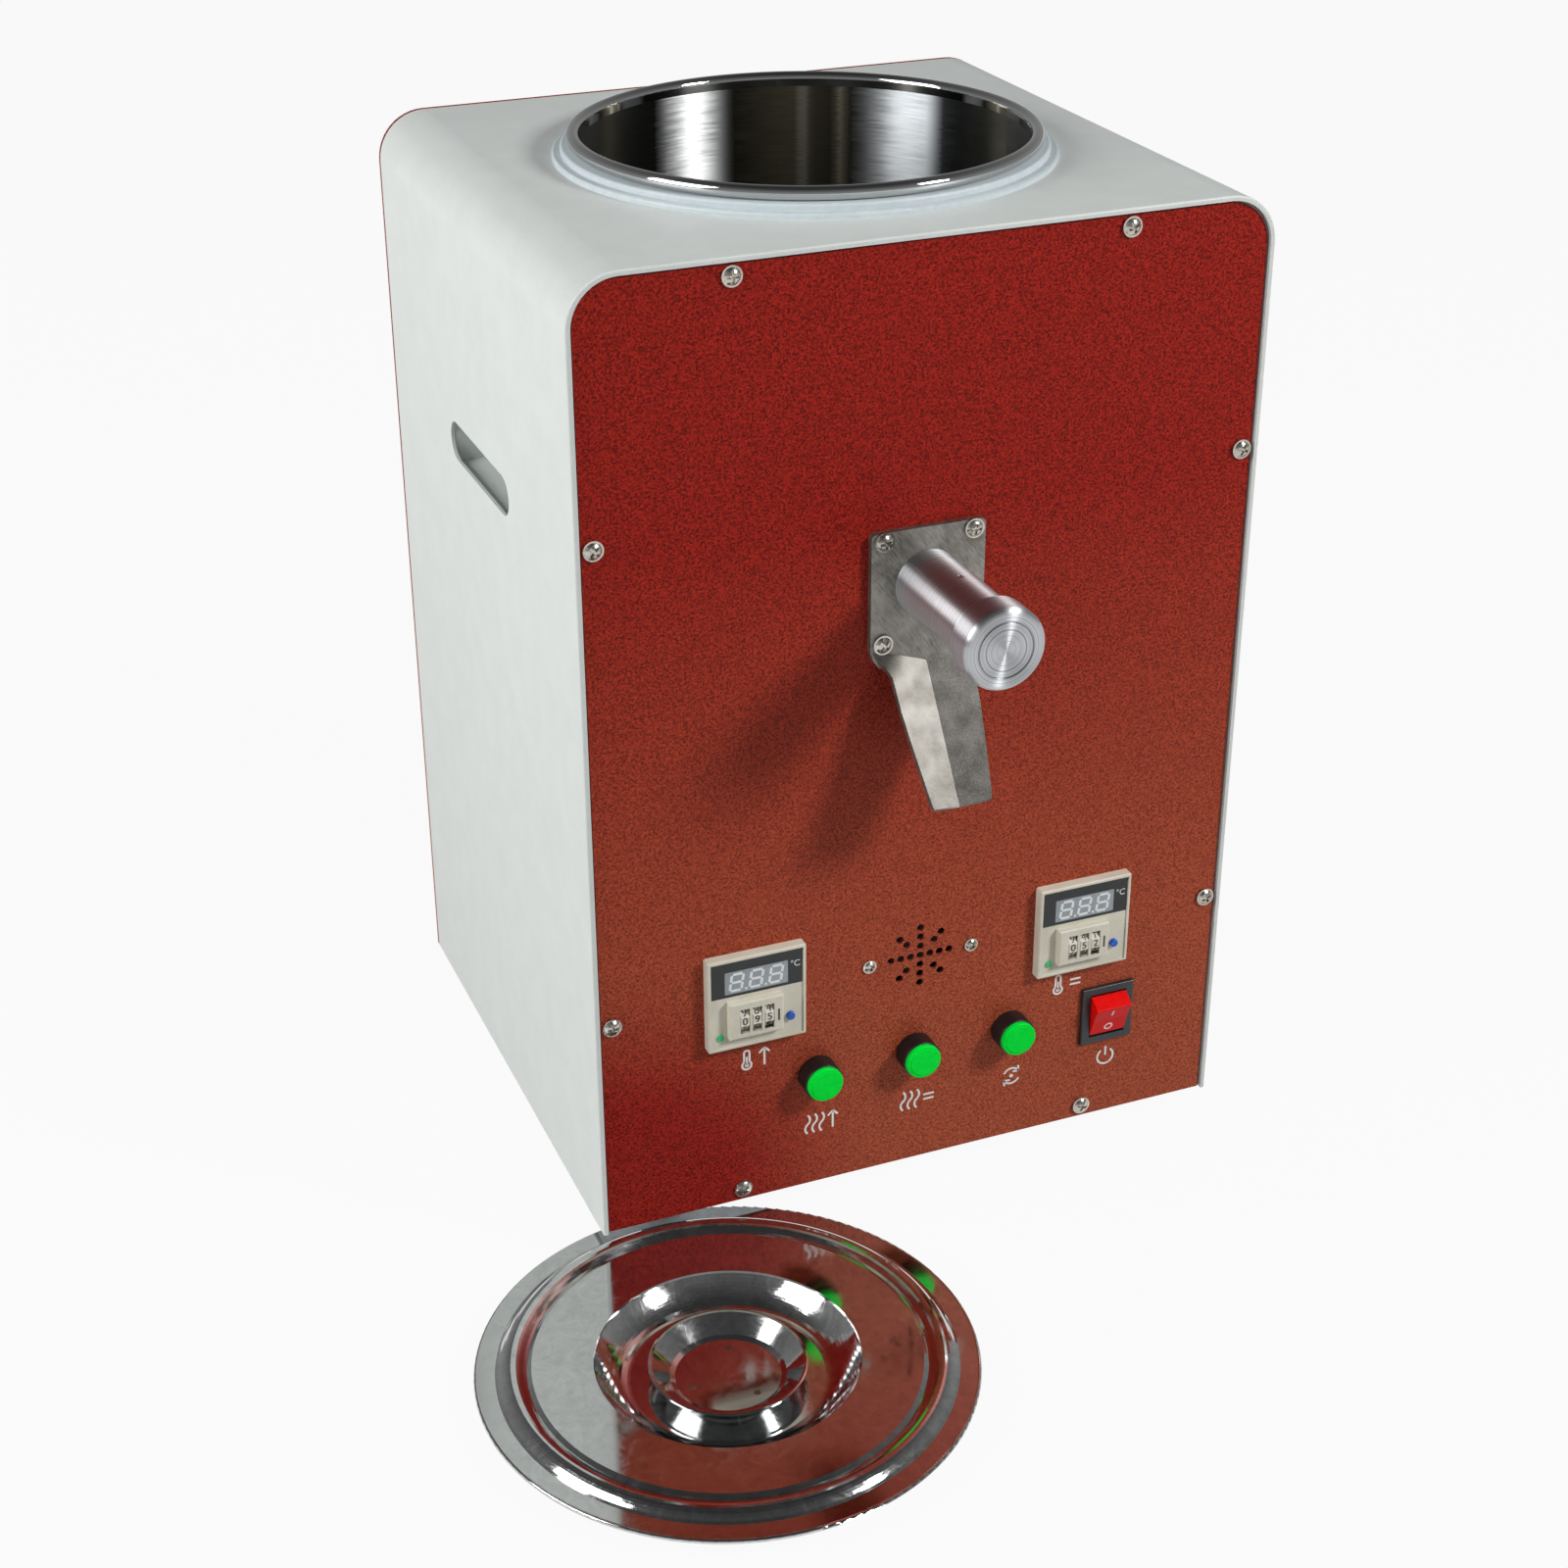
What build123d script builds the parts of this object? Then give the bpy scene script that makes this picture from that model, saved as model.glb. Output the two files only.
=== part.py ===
from build123d import *
import math
import os

# Agar duplicating machine: a heated, stirred pot in a sheet-steel casing, with a screw tap.
# Millimetres. X is right, the front faces -Y, Z is up.
# The origin is on the bench, under the centre of the casing.

# Casing: its depth runs from the front panel's face to the rear panel's
case_w = 310.0
case_d = 275.0
case_h = 444.0
case_r = 22.0
sheet = 1.5
flange_w = 16.0
rim_t = 2.2
rim_proud = 1.5
rim_edge_r = 0.9
panel_t = 1.5
panel_inset = 3.2
panel_bottom_gap = 0.4
assembly_gap = 0.2

# Feet and base
foot_h = 15.0
foot_r = 13.0
foot_toe_r = 11.0
foot_inset_x = 40.0
foot_inset_y = 40.0
foot_recess_r = 6.0
foot_recess_h = 7.0
foot_nut_r = 4.6
foot_nut_h = 4.0
base_lip_h = 16.0
base_return_w = 18.0
base_screw_inset = 9.0
base_screw_y = (-90.0, 0.0, 90.0)

# Cooling slots in the base and the rear panel
base_slot_x = (-60.0, -20.0, 20.0, 60.0)
base_slot_y = (-70.0, 0.0)
base_slot_len = 44.0
base_slot_w = 6.0
vent_rows = 9
vent_pitch = 11.0
vent_w = 58.0
vent_h = 4.0
vent_x = (-76.0, 0.0, 76.0)
vent_bottom = 130.0

# Hand slots and the pockets behind them
slot_len = 88.0
slot_h = 18.0
slot_y = -5.0
slot_drop = 122.8
pocket_depth = 27.0
pocket_wall = 1.2
pocket_end_room = 0.3
pocket_floor_drop = 3.6
pocket_headroom = 5.0
pocket_lip = 8.0

# Panel fixings: half spacing of the outer rows, insets from the casing's sides and top,
# and heights above its bottom edge
panel_screw_top_x = 87.0
panel_screw_side_inset = 8.0
panel_screw_top_inset = 7.9
panel_screw_high_z = 332.0
panel_screw_low_z = 109.0
panel_screw_bottom_z = 6.6
m5_r = 2.5
m5_head_r = 4.4
m5_head_h = 2.8
m5_panel_len = 7.0
m4_r = 2.0
m4_head_r = 3.25
m4_head_h = 2.2
m4_panel_len = 7.0
screw_gap = 0.1
recess_w = 1.2
recess_depth = 1.5

# Pot
pot_r = 97.5
pot_wall = 0.9
pot_y = -2.4
pot_rim_tube_r = 3.0
pot_rim_rise = 8.4
pot_depth = 177.0
pot_corner_r = 6.0
rim_sheet = 0.9
rim_curl_end = -140.0

# Seat ring between the pot's rim and the casing: its widths run outwards from the pot's bore
ring_w = 12.3
ring_step_w = 8.7
ring_step_h = 2.6
ring_spigot_w = 4.5
ring_spigot_drop = 6.5
ring_pot_gap = 0.5
ring_hole_gap = 0.3
ring_edge_r = 1.1

# Heater and insulation
heater_t = 2.5
heater_gap = 0.1
heater_bottom = 38.0
heater_h = 60.0
heater_split_w = 12.0
heater_ear_w = 5.0
heater_ear_len = 12.0
heater_ear_margin = 15.0
clamp_bolt_r = 2.0
clamp_bolt_tail = 4.0
clamp_nut_t = 3.0
jacket_gap = 0.3
jacket_t = 14.0
jacket_top_gap = 2.5
jacket_bottom_rise = 4.0
jacket_slit_w = 36.0
jacket_port_w = 60.0
jacket_port_h = 62.0

# Tap
tap_x = -2.0
tap_axis_rise = 17.0
bore_r = 9.5
nozzle_r = 12.5
nozzle_flange_t = 4.0
gasket_r = 13.5
gasket_gap = 0.1
tap_plate_w = 52.0
tap_plate_up = 25.3
tap_plate_down = 30.0
tap_plate_t = 3.3
tap_plate_r = 2.5
tap_screw_dx = 20.5
tap_screw_up = 21.6
tap_screw_down = 24.8
barrel_r = 15.0
barrel_len = 60.6
barrel_fit = 0.02
pin_fit = 0.02
port_r = 4.5
port_offset = 10.5
chute_start_offset = 1.5
chute_start_drop = 32.8
chute_len = 67.4
chute_angle = 34.2
chute_depth = 4.5
chute_wall = 3.0
chute_neck_drop = 6.0
chute_outline = (
    (-7.0, 25.6), (-3.0, 25.2), (2.0, 22.3), (5.0, 20.5), (9.0, 18.7), (24.0, 18.2), (40.0, 16.7),
)
chute_tip_half_w = 13.8
chute_tip_r = 2.0
chute_neck_corner = 4.0

# Plunger and knob
plunger_gap = 0.05
plunger_tip_offset = 1.5
plunger_len = 35.5
plunger_travel = 14.0
plunger_nose = 5.5
thread_r = 5.0
thread_gap = 0.06
thread_overlap = 10.0
oring_r = 0.9
oring_squeeze = 0.06
oring_places = (2.3, 15.4)
key_w = 3.0
key_gap = 0.06
key_end_gap = 0.3
key_bite = 1.4
key_at = 34.0
spigot_len = 9.6
spigot_groove_r = 7.4
spigot_groove_w = 4.4
grub_r = 2.0
knob_washer_t = 1.4
knob_washer_r = 14.2
knob_r = 18.0
knob_len = 14.2
knob_edge_r = 2.6
knob_back_edge_r = 0.8
knob_ring_r = 12.0
knob_ring_w = 0.8
knob_ring_depth = 0.5
thrust_gap = 0.1

# Deck, gear motor and stirrer
deck_drop = 52.5
deck_t = 1.5
deck_gap = 0.3
deck_lip = 14.0
deck_window = 40.0
deck_window_at = 95.0
motor_r = 30.0
motor_h = 62.0
gearbox_h = 24.0
motor_can_r = 26.0
motor_neck_r = 12.0
motor_neck_rise = 4.5
motor_shaft_r = 4.0
motor_shaft_depth = 12.0
motor_shaft_out = 22.0
coupling_r = 10.0
coupling_h = 30.0
coupling_rise = 9.0
shaft_r = 5.0
shaft_gap = 0.05
shaft_above_floor = 24.0
paddle_hub_r = 9.0
paddle_hub_h = 15.0
paddle_rise = 8.0
paddle_reach = 78.0
paddle_h = 13.0
paddle_t = 2.0
paddle_pitch = 25.0
gland_flange_r = 21.0
gland_flange_t = 4.0
gland_stem_r = 8.9
gland_nut_r = 14.0
gland_nut_h = 4.5
gland_drop = 8.0
seal_r = 7.5
seal_h = 5.0

# Sensors under the pot
probe_r = 6.0
probe_stem_r = 4.0
probe_places = ((-55.0, 20.0), (55.0, 20.0))
probe_body_h = 30.0
probe_stem_drop = 6.0
sensor_gap = 0.1
cutout_place = (0.0, 58.0)
cutout_r = 9.0
cutout_h = 9.0
cutout_strap_w = 14.0
cutout_strap_t = 1.2
cutout_strap_half = 22.0
cutout_strap_foot = 10.0

# Temperature controllers, one at each side
ctrl_face = 46.6
ctrl_x = 81.0
ctrl_z = 110.1
ctrl_bezel_t = 5.2
ctrl_edge_r = 0.9
ctrl_rim_w = 1.5
ctrl_rim_h = 0.6
ctrl_body = 42.6
ctrl_body_depth = 78.0
ctrl_window_w = 43.4
ctrl_window_h = 17.9
ctrl_window_top = 1.6
ctrl_window_t = 1.2
ctrl_window_sunk = 0.15
ctrl_window_gap = 0.05
ctrl_clamp_w = 50.0
ctrl_clamp_t = 8.0
block_w = 25.6
block_h = 18.4
block_x = -1.6
block_z = -7.3
block_t = 3.2
block_edge_r = 0.8
block_wall = 1.0
wheel_x_shift = 0.2
wheel_z_shift = -0.6
wheel_pitch = 5.8
wheel_r = 7.2
wheel_w = 4.0
wheel_bore_r = 1.6
wheel_axle_r = 1.55
wheel_proud = 0.7
wheel_slot_gap = 0.3
wheel_slot_h = 12.6
wheel_faces = 10
wheel_rib_r = 0.5
wheel_rib_sunk = 0.35
wheel_room = 0.8
wheel_side_room = 0.2
reset_x = 15.6
reset_z = -12.0
reset_r = 1.9
reset_gap = 0.1
reset_proud = 1.2
reset_len = 8.0
reset_edge_r = 0.4
lamp_x = -17.6
lamp_z = -16.1
lamp_r = 1.6
lamp_proud = 0.6
lamp_len = 3.0

# Loudspeaker
speaker_z = 111.0
speaker_pitch = 4.8
speaker_hole_r = 1.8
speaker_screw_dx = 25.2
speaker_cup_r = 19.0
speaker_cup_h = 13.0
speaker_cup_wall = 2.0
speaker_cup_depth = 5.0
speaker_flange_t = 2.0
speaker_flange_w = 34.0
speaker_flange_end = 7.0

# Push buttons
button_names = ("heating", "holding", "stirring")
button_x = (-50.6, -2.0, 46.5)
button_z = 60.6
collar_r = 9.15
collar_h = 9.2
collar_edge_r = 0.5
button_thread_r = 7.9
button_depth = 34.0
contact_block_half = 6.9
contact_block_bite = 12.0
contact_block_out = 8.0
button_nut_r = 11.0
button_nut_t = 4.0
cap_r = 8.45
cap_gap = 0.1
cap_proud = 2.2
cap_edge_r = 0.7
cap_disc_r = 6.7
cap_disc_h = 0.35
cap_skirt = 5.0
cap_stem_r = 3.0
cap_stem_len = 12.0
cap_travel = 2.0

# Rocker switch
rocker_x = 97.6
rocker_z = 57.2
rocker_bezel_w = 26.8
rocker_bezel_h = 30.7
rocker_bezel_t = 2.2
rocker_bezel_edge_r = 0.9
rocker_open_w = 18.6
rocker_open_h = 23.2
rocker_body_depth = 27.0
rocker_body_floor = 10.0
rocker_side_gap = 0.3
rocker_tilt = 21.5
rocker_dish = 3.0
rocker_pivot_out = 0.9
rocker_pivot_r = 0.9
rocker_pivot_gap = 0.06
rocker_pivot_bite = 1.2
rocker_edge_reach = 9.3
rocker_edge_rise = 5.1
rocker_edge_r = 0.5
rocker_heel_reach = 10.8
rocker_heel_drop = 2.5
rocker_root_reach = 8.5
rocker_root_drop = 4.6

# Mains inlet with its fuse drawer
inlet_x = -98.0
inlet_z = 52.0
inlet_flange_w = 50.0
inlet_flange_h = 32.0
inlet_flange_t = 2.5
inlet_flange_r = 3.0
inlet_body_w = 28.0
inlet_body_h = 28.0
inlet_body_depth = 26.0
inlet_well_w = 23.5
inlet_well_h = 16.0
inlet_well_depth = 17.0
inlet_well_top = 2.0
inlet_pin_w = 2.0
inlet_pin_t = 4.0
inlet_pin_len = 14.0
inlet_pin_places = ((-7.0, -2.0), (0.0, 2.0), (7.0, -2.0))
inlet_screw_dx = 20.0
drawer_w = 20.0
drawer_h = 5.6
drawer_depth = 18.0
drawer_gap = 0.15
drawer_wall = 1.2
drawer_rise = 1.8
drawer_front_t = 3.0
drawer_grip_half = 5.0
drawer_grip_h = 1.2
drawer_grip_proud = 1.2

# Electronics on the base
relay_size = (58.0, 45.0, 25.0)
relay_places = ((-95.0, 60.0), (-20.0, 60.0))
relay_pocket = (13.0, 12.0, 6.0)
relay_pocket_inset = (6.0, 9.0)
relay_terminal_r = 2.6
relay_terminal_h = 3.0

# Lid, lying on the bench: its centre stands in from the casing's left side and out from the front
lid_inset_x = 23.3
lid_out_y = 95.8
lid_overhang = 10.4
lid_sheet = 0.8
lid_rim_h = 10.0
lid_bead_over = 1.3
lid_bead_w = 13.4
lid_bead_h = 14.4
lid_groove_h = 11.0
lid_groove_w = 2.0
lid_disc_h = 12.1
lid_step_r = 57.1
lid_step_h = 0.9
lid_well_r = 42.0
lid_well_bend = 1.7
lid_curve_steps = 12
lid_edge_r = 1.1
knob_cup_floor_r = 23.4
knob_cup_rim_r = 34.1
knob_cup_h = 8.4
knob_cup_gap = 0.05

# Heights and planes worked out from the sizes above
case_bottom = foot_h
case_top = foot_h + case_h
front_y = -case_d / 2
slot_z = case_h - slot_drop
wrap_front = front_y + panel_t
wrap_back = -wrap_front
rim_front = front_y - rim_proud
rim_centre_z = case_top + pot_rim_rise
rim_centre_r = pot_r + pot_rim_tube_r
rim_top = rim_centre_z + pot_rim_tube_r
pot_floor = rim_top - pot_depth
pot_outer_r = pot_r + pot_wall
pot_under = pot_floor - pot_wall
tap_z = pot_floor + tap_axis_rise
barrel_end_y = front_y - barrel_len
knob_back_y = barrel_end_y - knob_washer_t - 2 * thrust_gap
knob_front_y = knob_back_y - knob_len
ring_r = pot_r + ring_w
ring_step_r = pot_r + ring_step_w
ring_spigot_r = pot_r + ring_spigot_w
pot_hole_r = ring_spigot_r + ring_hole_gap
deck_z = pot_under - deck_drop
lid_x = lid_inset_x - case_w / 2
lid_y = front_y - lid_out_y
lid_r = pot_r + lid_overhang
lid_bead_out_r = pot_r + lid_bead_over
lid_bead_in_r = lid_bead_out_r - lid_bead_w
lid_disc_r = lid_bead_in_r - lid_groove_w


def box(x0, x1, y0, y1, z0, z1):
    """A block between two corners."""
    centre = Pos((x0 + x1) / 2, (y0 + y1) / 2, (z0 + z1) / 2)
    return centre * Box(abs(x1 - x0), abs(y1 - y0), abs(z1 - z0))


def cyl_z(radius, x, y, z0, z1):
    """A cylinder along Z."""
    return Pos(x, y, (z0 + z1) / 2) * Cylinder(radius, abs(z1 - z0))


def cyl_y(radius, x, z, y0, y1):
    """A cylinder along Y."""
    return Pos(x, (y0 + y1) / 2, z) * Rot(90, 0, 0) * Cylinder(radius, abs(y1 - y0))


def cyl_x(radius, y, z, x0, x1):
    """A cylinder along X."""
    return Pos((x0 + x1) / 2, y, z) * Rot(0, 90, 0) * Cylinder(radius, abs(x1 - x0))


def tube_z(outer, inner, x, y, z0, z1):
    """A tube along Z."""
    return cyl_z(outer, x, y, z0, z1) - cyl_z(inner, x, y, z0 - 1, z1 + 1)


def tube_y(outer, inner, x, z, y0, y1):
    """A tube along Y."""
    low, high = min(y0, y1), max(y0, y1)
    return cyl_y(outer, x, z, low, high) - cyl_y(inner, x, z, low - 1, high + 1)


def hexagon_z(radius, x, y, z0, z1):
    """A hexagonal prism along Z."""
    face = Pos(x, y, z0) * RegularPolygon(radius, 6)
    return extrude(face, amount=z1 - z0)


def facing_front(x, y, z):
    """A plane that faces -Y, with its own up along Z."""
    return Plane(origin=(x, y, z), x_dir=(1, 0, 0), z_dir=(0, -1, 0))


def facing_side(x, y, z):
    """A plane that faces +X, with its own up along Z."""
    return Plane(origin=(x, y, z), x_dir=(0, 1, 0), z_dir=(1, 0, 0))


def arch(width, bottom, top, radius, y):
    """An upright face with a square bottom and two round top corners."""
    half = width / 2
    turn = radius * (1 - math.sqrt(0.5))
    low = top - radius
    flat = half - radius
    edges = [
        Line((-half, y, bottom), (half, y, bottom)),
        Line((half, y, bottom), (half, y, low)),
        ThreePointArc((half, y, low), (half - turn, y, top - turn), (flat, y, top)),
        Line((flat, y, top), (-flat, y, top)),
        ThreePointArc((-flat, y, top), (turn - half, y, top - turn), (-half, y, low)),
        Line((-half, y, low), (-half, y, bottom)),
    ]
    return Face(Wire(edges))


def arch_block(width, bottom, top, radius, y0, y1):
    """The arch drawn out from y0 to y1."""
    return extrude(arch(width, bottom, top, radius, y0), amount=y1 - y0, dir=(0, 1, 0))


def turned(points, x=0.0, y=0.0):
    """A ring or disc from an outline of (radius, height) points."""
    outline = Polyline([(r, 0, z) for r, z in points], close=True)
    return Pos(x, y, 0) * revolve(Face(Wire(outline.edges())), Axis.Z)


def pan_screw(shank_r, head_r, head_h, length):
    """A cross-recessed pan-head screw along Z, its head up, seated at z = 0."""
    dome = (head_r * head_r + head_h * head_h) / (2 * head_h)
    side = head_h * 0.4
    ball = Pos(0, 0, head_h - dome) * Sphere(dome)
    head = cyl_z(head_r, 0, 0, 0, head_h) & ball
    head = head + cyl_z(head_r, 0, 0, 0, side)
    arm = head_r * 1.1
    cross = Box(arm, recess_w, 2 * recess_depth) + Box(recess_w, arm, 2 * recess_depth)
    return head - Pos(0, 0, head_h) * cross + cyl_z(shank_r, 0, 0, -length, side / 2)


def towards_front(x, y, z, turn=0.0):
    """Turns a piece made along Z so that its top faces -Y."""
    return Pos(x, y, z) * Rot(90, 0, 0) * Rot(0, 0, turn)


def towards_back(x, y, z, turn=0.0):
    """Turns a piece made along Z so that its top faces +Y."""
    return Pos(x, y, z) * Rot(-90, 0, 0) * Rot(0, 0, turn)


def towards_floor(x, y, z, turn=0.0):
    """Turns a piece made along Z so that its top faces down."""
    return Pos(x, y, z) * Rot(180, 0, 0) * Rot(0, 0, turn)


def save(node, pieces):
    """Writes one node, a single solid or a group of separate solids."""
    solids = []
    for piece in pieces if isinstance(pieces, list) else [pieces]:
        solids.extend(piece.solids())
    shape = solids[0] if len(solids) == 1 else Compound(children=solids)
    export_step(shape, f"parts/{node}.step")


def panel_screw_places():
    """The x and z of the eight screws that hold a panel."""
    side_x = case_w / 2 - panel_screw_side_inset
    rows = [
        (panel_screw_top_x, case_h - panel_screw_top_inset),
        (side_x, panel_screw_high_z),
        (side_x, panel_screw_low_z),
        (panel_screw_top_x, panel_screw_bottom_z),
    ]
    return [(side * x, case_bottom + z) for x, z in rows for side in (-1, 1)]


def foot_places():
    """The x and y of the four feet."""
    x = case_w / 2 - foot_inset_x
    y = case_d / 2 - foot_inset_y
    return [(sx * x, sy * y) for sx in (-1, 1) for sy in (-1, 1)]


def base_screw_places():
    """The x and y of the screws that hold the base to the casing's bottom returns."""
    x = case_w / 2 - base_screw_inset
    return [(side * x, y) for side in (-1, 1) for y in base_screw_y]


def slot_cutter(x0, x1):
    """The round-ended hand slot, drawn through from x0 to x1."""
    face = facing_side(x0, slot_y, case_bottom + slot_z) * SlotOverall(slot_len, slot_h)
    return extrude(face, amount=x1 - x0)


def make_casing_wrap():
    """Left side, top and right side in one bent sheet.

    It has a flange round both ends, and in front a rim that stands round the red panel.
    """
    inner_r = case_r - sheet
    body = arch_block(case_w, case_bottom, case_top, case_r, rim_front, wrap_back)
    ends = [e for e in body.edges() if e.center().Z > case_bottom + 1]
    ends = [e for e in ends if min(abs(e.center().Y - rim_front), abs(e.center().Y - wrap_back)) < 0.01]
    body = fillet(ends, rim_edge_r)
    inside = arch_block(case_w - 2 * sheet, case_bottom - 1, case_top - sheet, inner_r,
                        wrap_front + sheet, wrap_back - sheet)
    opening = arch_block(case_w - 2 * flange_w, case_bottom - 1, case_top - flange_w, inner_r / 2,
                         rim_front - 1, wrap_back + 1)
    seat = arch_block(case_w - 2 * rim_t, case_bottom - 1, case_top - rim_t, case_r - rim_t,
                      rim_front - 1, wrap_front)
    body = body - inside - opening - seat
    for side in (-1, 1):
        wall_x = side * (case_w / 2 - sheet / 2)
        lip_x = side * (case_w / 2 - base_return_w)
        body = body + box(lip_x, wall_x, wrap_front + sheet / 2, wrap_back - sheet / 2,
                          case_bottom + sheet, case_bottom + 2 * sheet)
    body = body - cyl_z(pot_hole_r, 0, pot_y, case_top - 2 * sheet, case_top + 1)
    body = body - slot_cutter(-case_w / 2 - 1, -case_w / 2 + 2 * sheet)
    body = body - slot_cutter(case_w / 2 - 2 * sheet, case_w / 2 + 1)
    for x, z in panel_screw_places():
        if z > case_bottom + base_lip_h:
            body = body - cyl_y(m5_r + screw_gap / 2, x, z, wrap_front - 1, wrap_back + 1)
    for x, y in base_screw_places():
        body = body - cyl_z(m4_r + screw_gap / 2, x, y, case_bottom, case_bottom + 3 * sheet)
    save("casing_wrap", body)


def controller_places():
    """The centre of each controller and the first word of its nodes."""
    z = case_bottom + ctrl_z
    return (("heating", -ctrl_x, z), ("holding", ctrl_x, z))


def speaker_holes():
    """Centres of the loudspeaker holes: a cross of twelve, a middle one and eight on the diagonals."""
    centre = case_bottom + speaker_z
    places = [(0.0, centre)]
    for arm in range(8):
        angle = math.radians(45 * arm)
        steps = (1, 2, 3) if arm % 2 == 0 else (2, 3)
        for step in steps:
            reach = step * speaker_pitch
            places.append((reach * math.cos(angle), centre + reach * math.sin(angle)))
    return places


def tap_screw_places():
    """The x and z of the four tap screws."""
    return [(tap_x + side * tap_screw_dx, tap_z + rise)
            for side in (-1, 1) for rise in (tap_screw_up, -tap_screw_down)]


def make_front_panel():
    """The red front panel, laid on the casing's front flange inside its rim."""
    panel = arch_block(case_w - 2 * panel_inset, case_bottom + panel_bottom_gap, case_top - panel_inset,
                       case_r - panel_inset, front_y, wrap_front)
    back = wrap_front + 1
    front = front_y - 1
    for x, z in panel_screw_places():
        panel = panel - cyl_y(m5_r + screw_gap, x, z, front, back)
    panel = panel - cyl_y(gasket_r + gasket_gap, tap_x, tap_z, front, back)
    for x, z in tap_screw_places():
        panel = panel - cyl_y(m5_r + screw_gap, x, z, front, back)
    cutout = ctrl_body / 2 + assembly_gap
    for name, x, z in controller_places():
        panel = panel - box(x - cutout, x + cutout, front, back, z - cutout, z + cutout)
    for x in button_x:
        panel = panel - cyl_y(button_thread_r + screw_gap, x, case_bottom + button_z, front, back)
    half_w = rocker_open_w / 2 + sheet + assembly_gap
    half_h = rocker_open_h / 2 + sheet + assembly_gap
    z = case_bottom + rocker_z
    panel = panel - box(rocker_x - half_w, rocker_x + half_w, front, back, z - half_h, z + half_h)
    for x, z in speaker_holes():
        panel = panel - cyl_y(speaker_hole_r, x, z, front, back)
    z = case_bottom + speaker_z
    for side in (-1, 1):
        panel = panel - cyl_y(m4_r + screw_gap, side * speaker_screw_dx, z, front, back)
    save("front_panel", panel)


def make_rear_panel():
    """The red rear panel, as large as the casing, with cooling slots and the inlet's opening."""
    panel = arch_block(case_w, case_bottom, case_top, case_r, wrap_back, wrap_back + panel_t)
    front = wrap_back - 1
    back = wrap_back + panel_t + 1
    for x, z in panel_screw_places():
        panel = panel - cyl_y(m5_r + screw_gap, x, z, front, back)
    for row in range(vent_rows):
        for x in vent_x:
            centre = facing_front(x, back, case_bottom + vent_bottom + row * vent_pitch)
            panel = panel - extrude(centre * SlotOverall(vent_w, vent_h), amount=back - front)
    x = inlet_x
    z = case_bottom + inlet_z
    half_w = inlet_body_w / 2 + assembly_gap
    half_h = inlet_body_h / 2 + assembly_gap
    panel = panel - box(x - half_w, x + half_w, front, back, z - half_h, z + half_h)
    for side in (-1, 1):
        panel = panel - cyl_y(m4_r + screw_gap, x + side * inlet_screw_dx, z, front, back)
    save("rear_panel", panel)


def make_base_plate():
    """The bottom sheet, with an upturned lip behind each panel and slots for cooling air."""
    half_x = case_w / 2 - sheet - assembly_gap
    half_y = wrap_back - sheet - assembly_gap
    lip_x = case_w / 2 - max(flange_w, base_return_w) - 1
    plate = box(-half_x, half_x, -half_y, half_y, case_bottom, case_bottom + sheet)
    plate = plate + box(-lip_x, lip_x, wrap_front, wrap_back, case_bottom, case_bottom + sheet)
    for side in (-1, 1):
        plate = plate + box(-lip_x, lip_x, side * (wrap_back - sheet), side * wrap_back,
                            case_bottom, case_bottom + base_lip_h)
    for x, y in foot_places():
        plate = plate - cyl_z(m5_r + screw_gap, x, y, case_bottom - 1, case_bottom + 2 * sheet)
    for x, y in base_screw_places():
        plate = plate - cyl_z(m4_r + screw_gap, x, y, case_bottom - 1, case_bottom + 2 * sheet)
    for x in base_slot_x:
        for y in base_slot_y:
            face = Pos(x, y, case_bottom - 1) * Rot(0, 0, 90) * SlotOverall(base_slot_len, base_slot_w)
            plate = plate - extrude(face, amount=3 * sheet)
    for x, z in panel_screw_places():
        if z < case_bottom + base_lip_h:
            plate = plate - cyl_y(m5_r + screw_gap / 2, x, z, wrap_front - 1, wrap_back + 1)
    save("base_plate", plate)


def make_feet():
    """Four rubber feet, each with a recess that takes its screw's head."""
    feet = []
    for x, y in foot_places():
        foot = turned([(0, 0), (foot_toe_r, 0), (foot_r, foot_h), (0, foot_h)], x, y)
        foot = foot - cyl_z(foot_recess_r, x, y, -1, foot_recess_h)
        foot = foot - cyl_z(m5_r + screw_gap, x, y, 0, foot_h + 1)
        feet.append(foot)
    save("feet", feet)


def make_base_fasteners():
    """Foot screws with their nuts, and the screws that hold the base to the casing."""
    pieces = []
    nut_z = case_bottom + sheet
    length = nut_z + foot_nut_h - foot_recess_h
    for x, y in foot_places():
        screw = pan_screw(m5_r, m5_head_r, m5_head_h, length)
        pieces.append(towards_floor(x, y, foot_recess_h) * screw)
        nut = hexagon_z(foot_nut_r, x, y, nut_z, nut_z + foot_nut_h)
        pieces.append(nut - cyl_z(m5_r + screw_gap / 2, x, y, nut_z - 1, nut_z + foot_nut_h + 1))
    for x, y in base_screw_places():
        screw = pan_screw(m4_r, m4_head_r, m4_head_h, 3 * sheet)
        pieces.append(towards_floor(x, y, case_bottom) * screw)
    save("base_fasteners", pieces)


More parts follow.
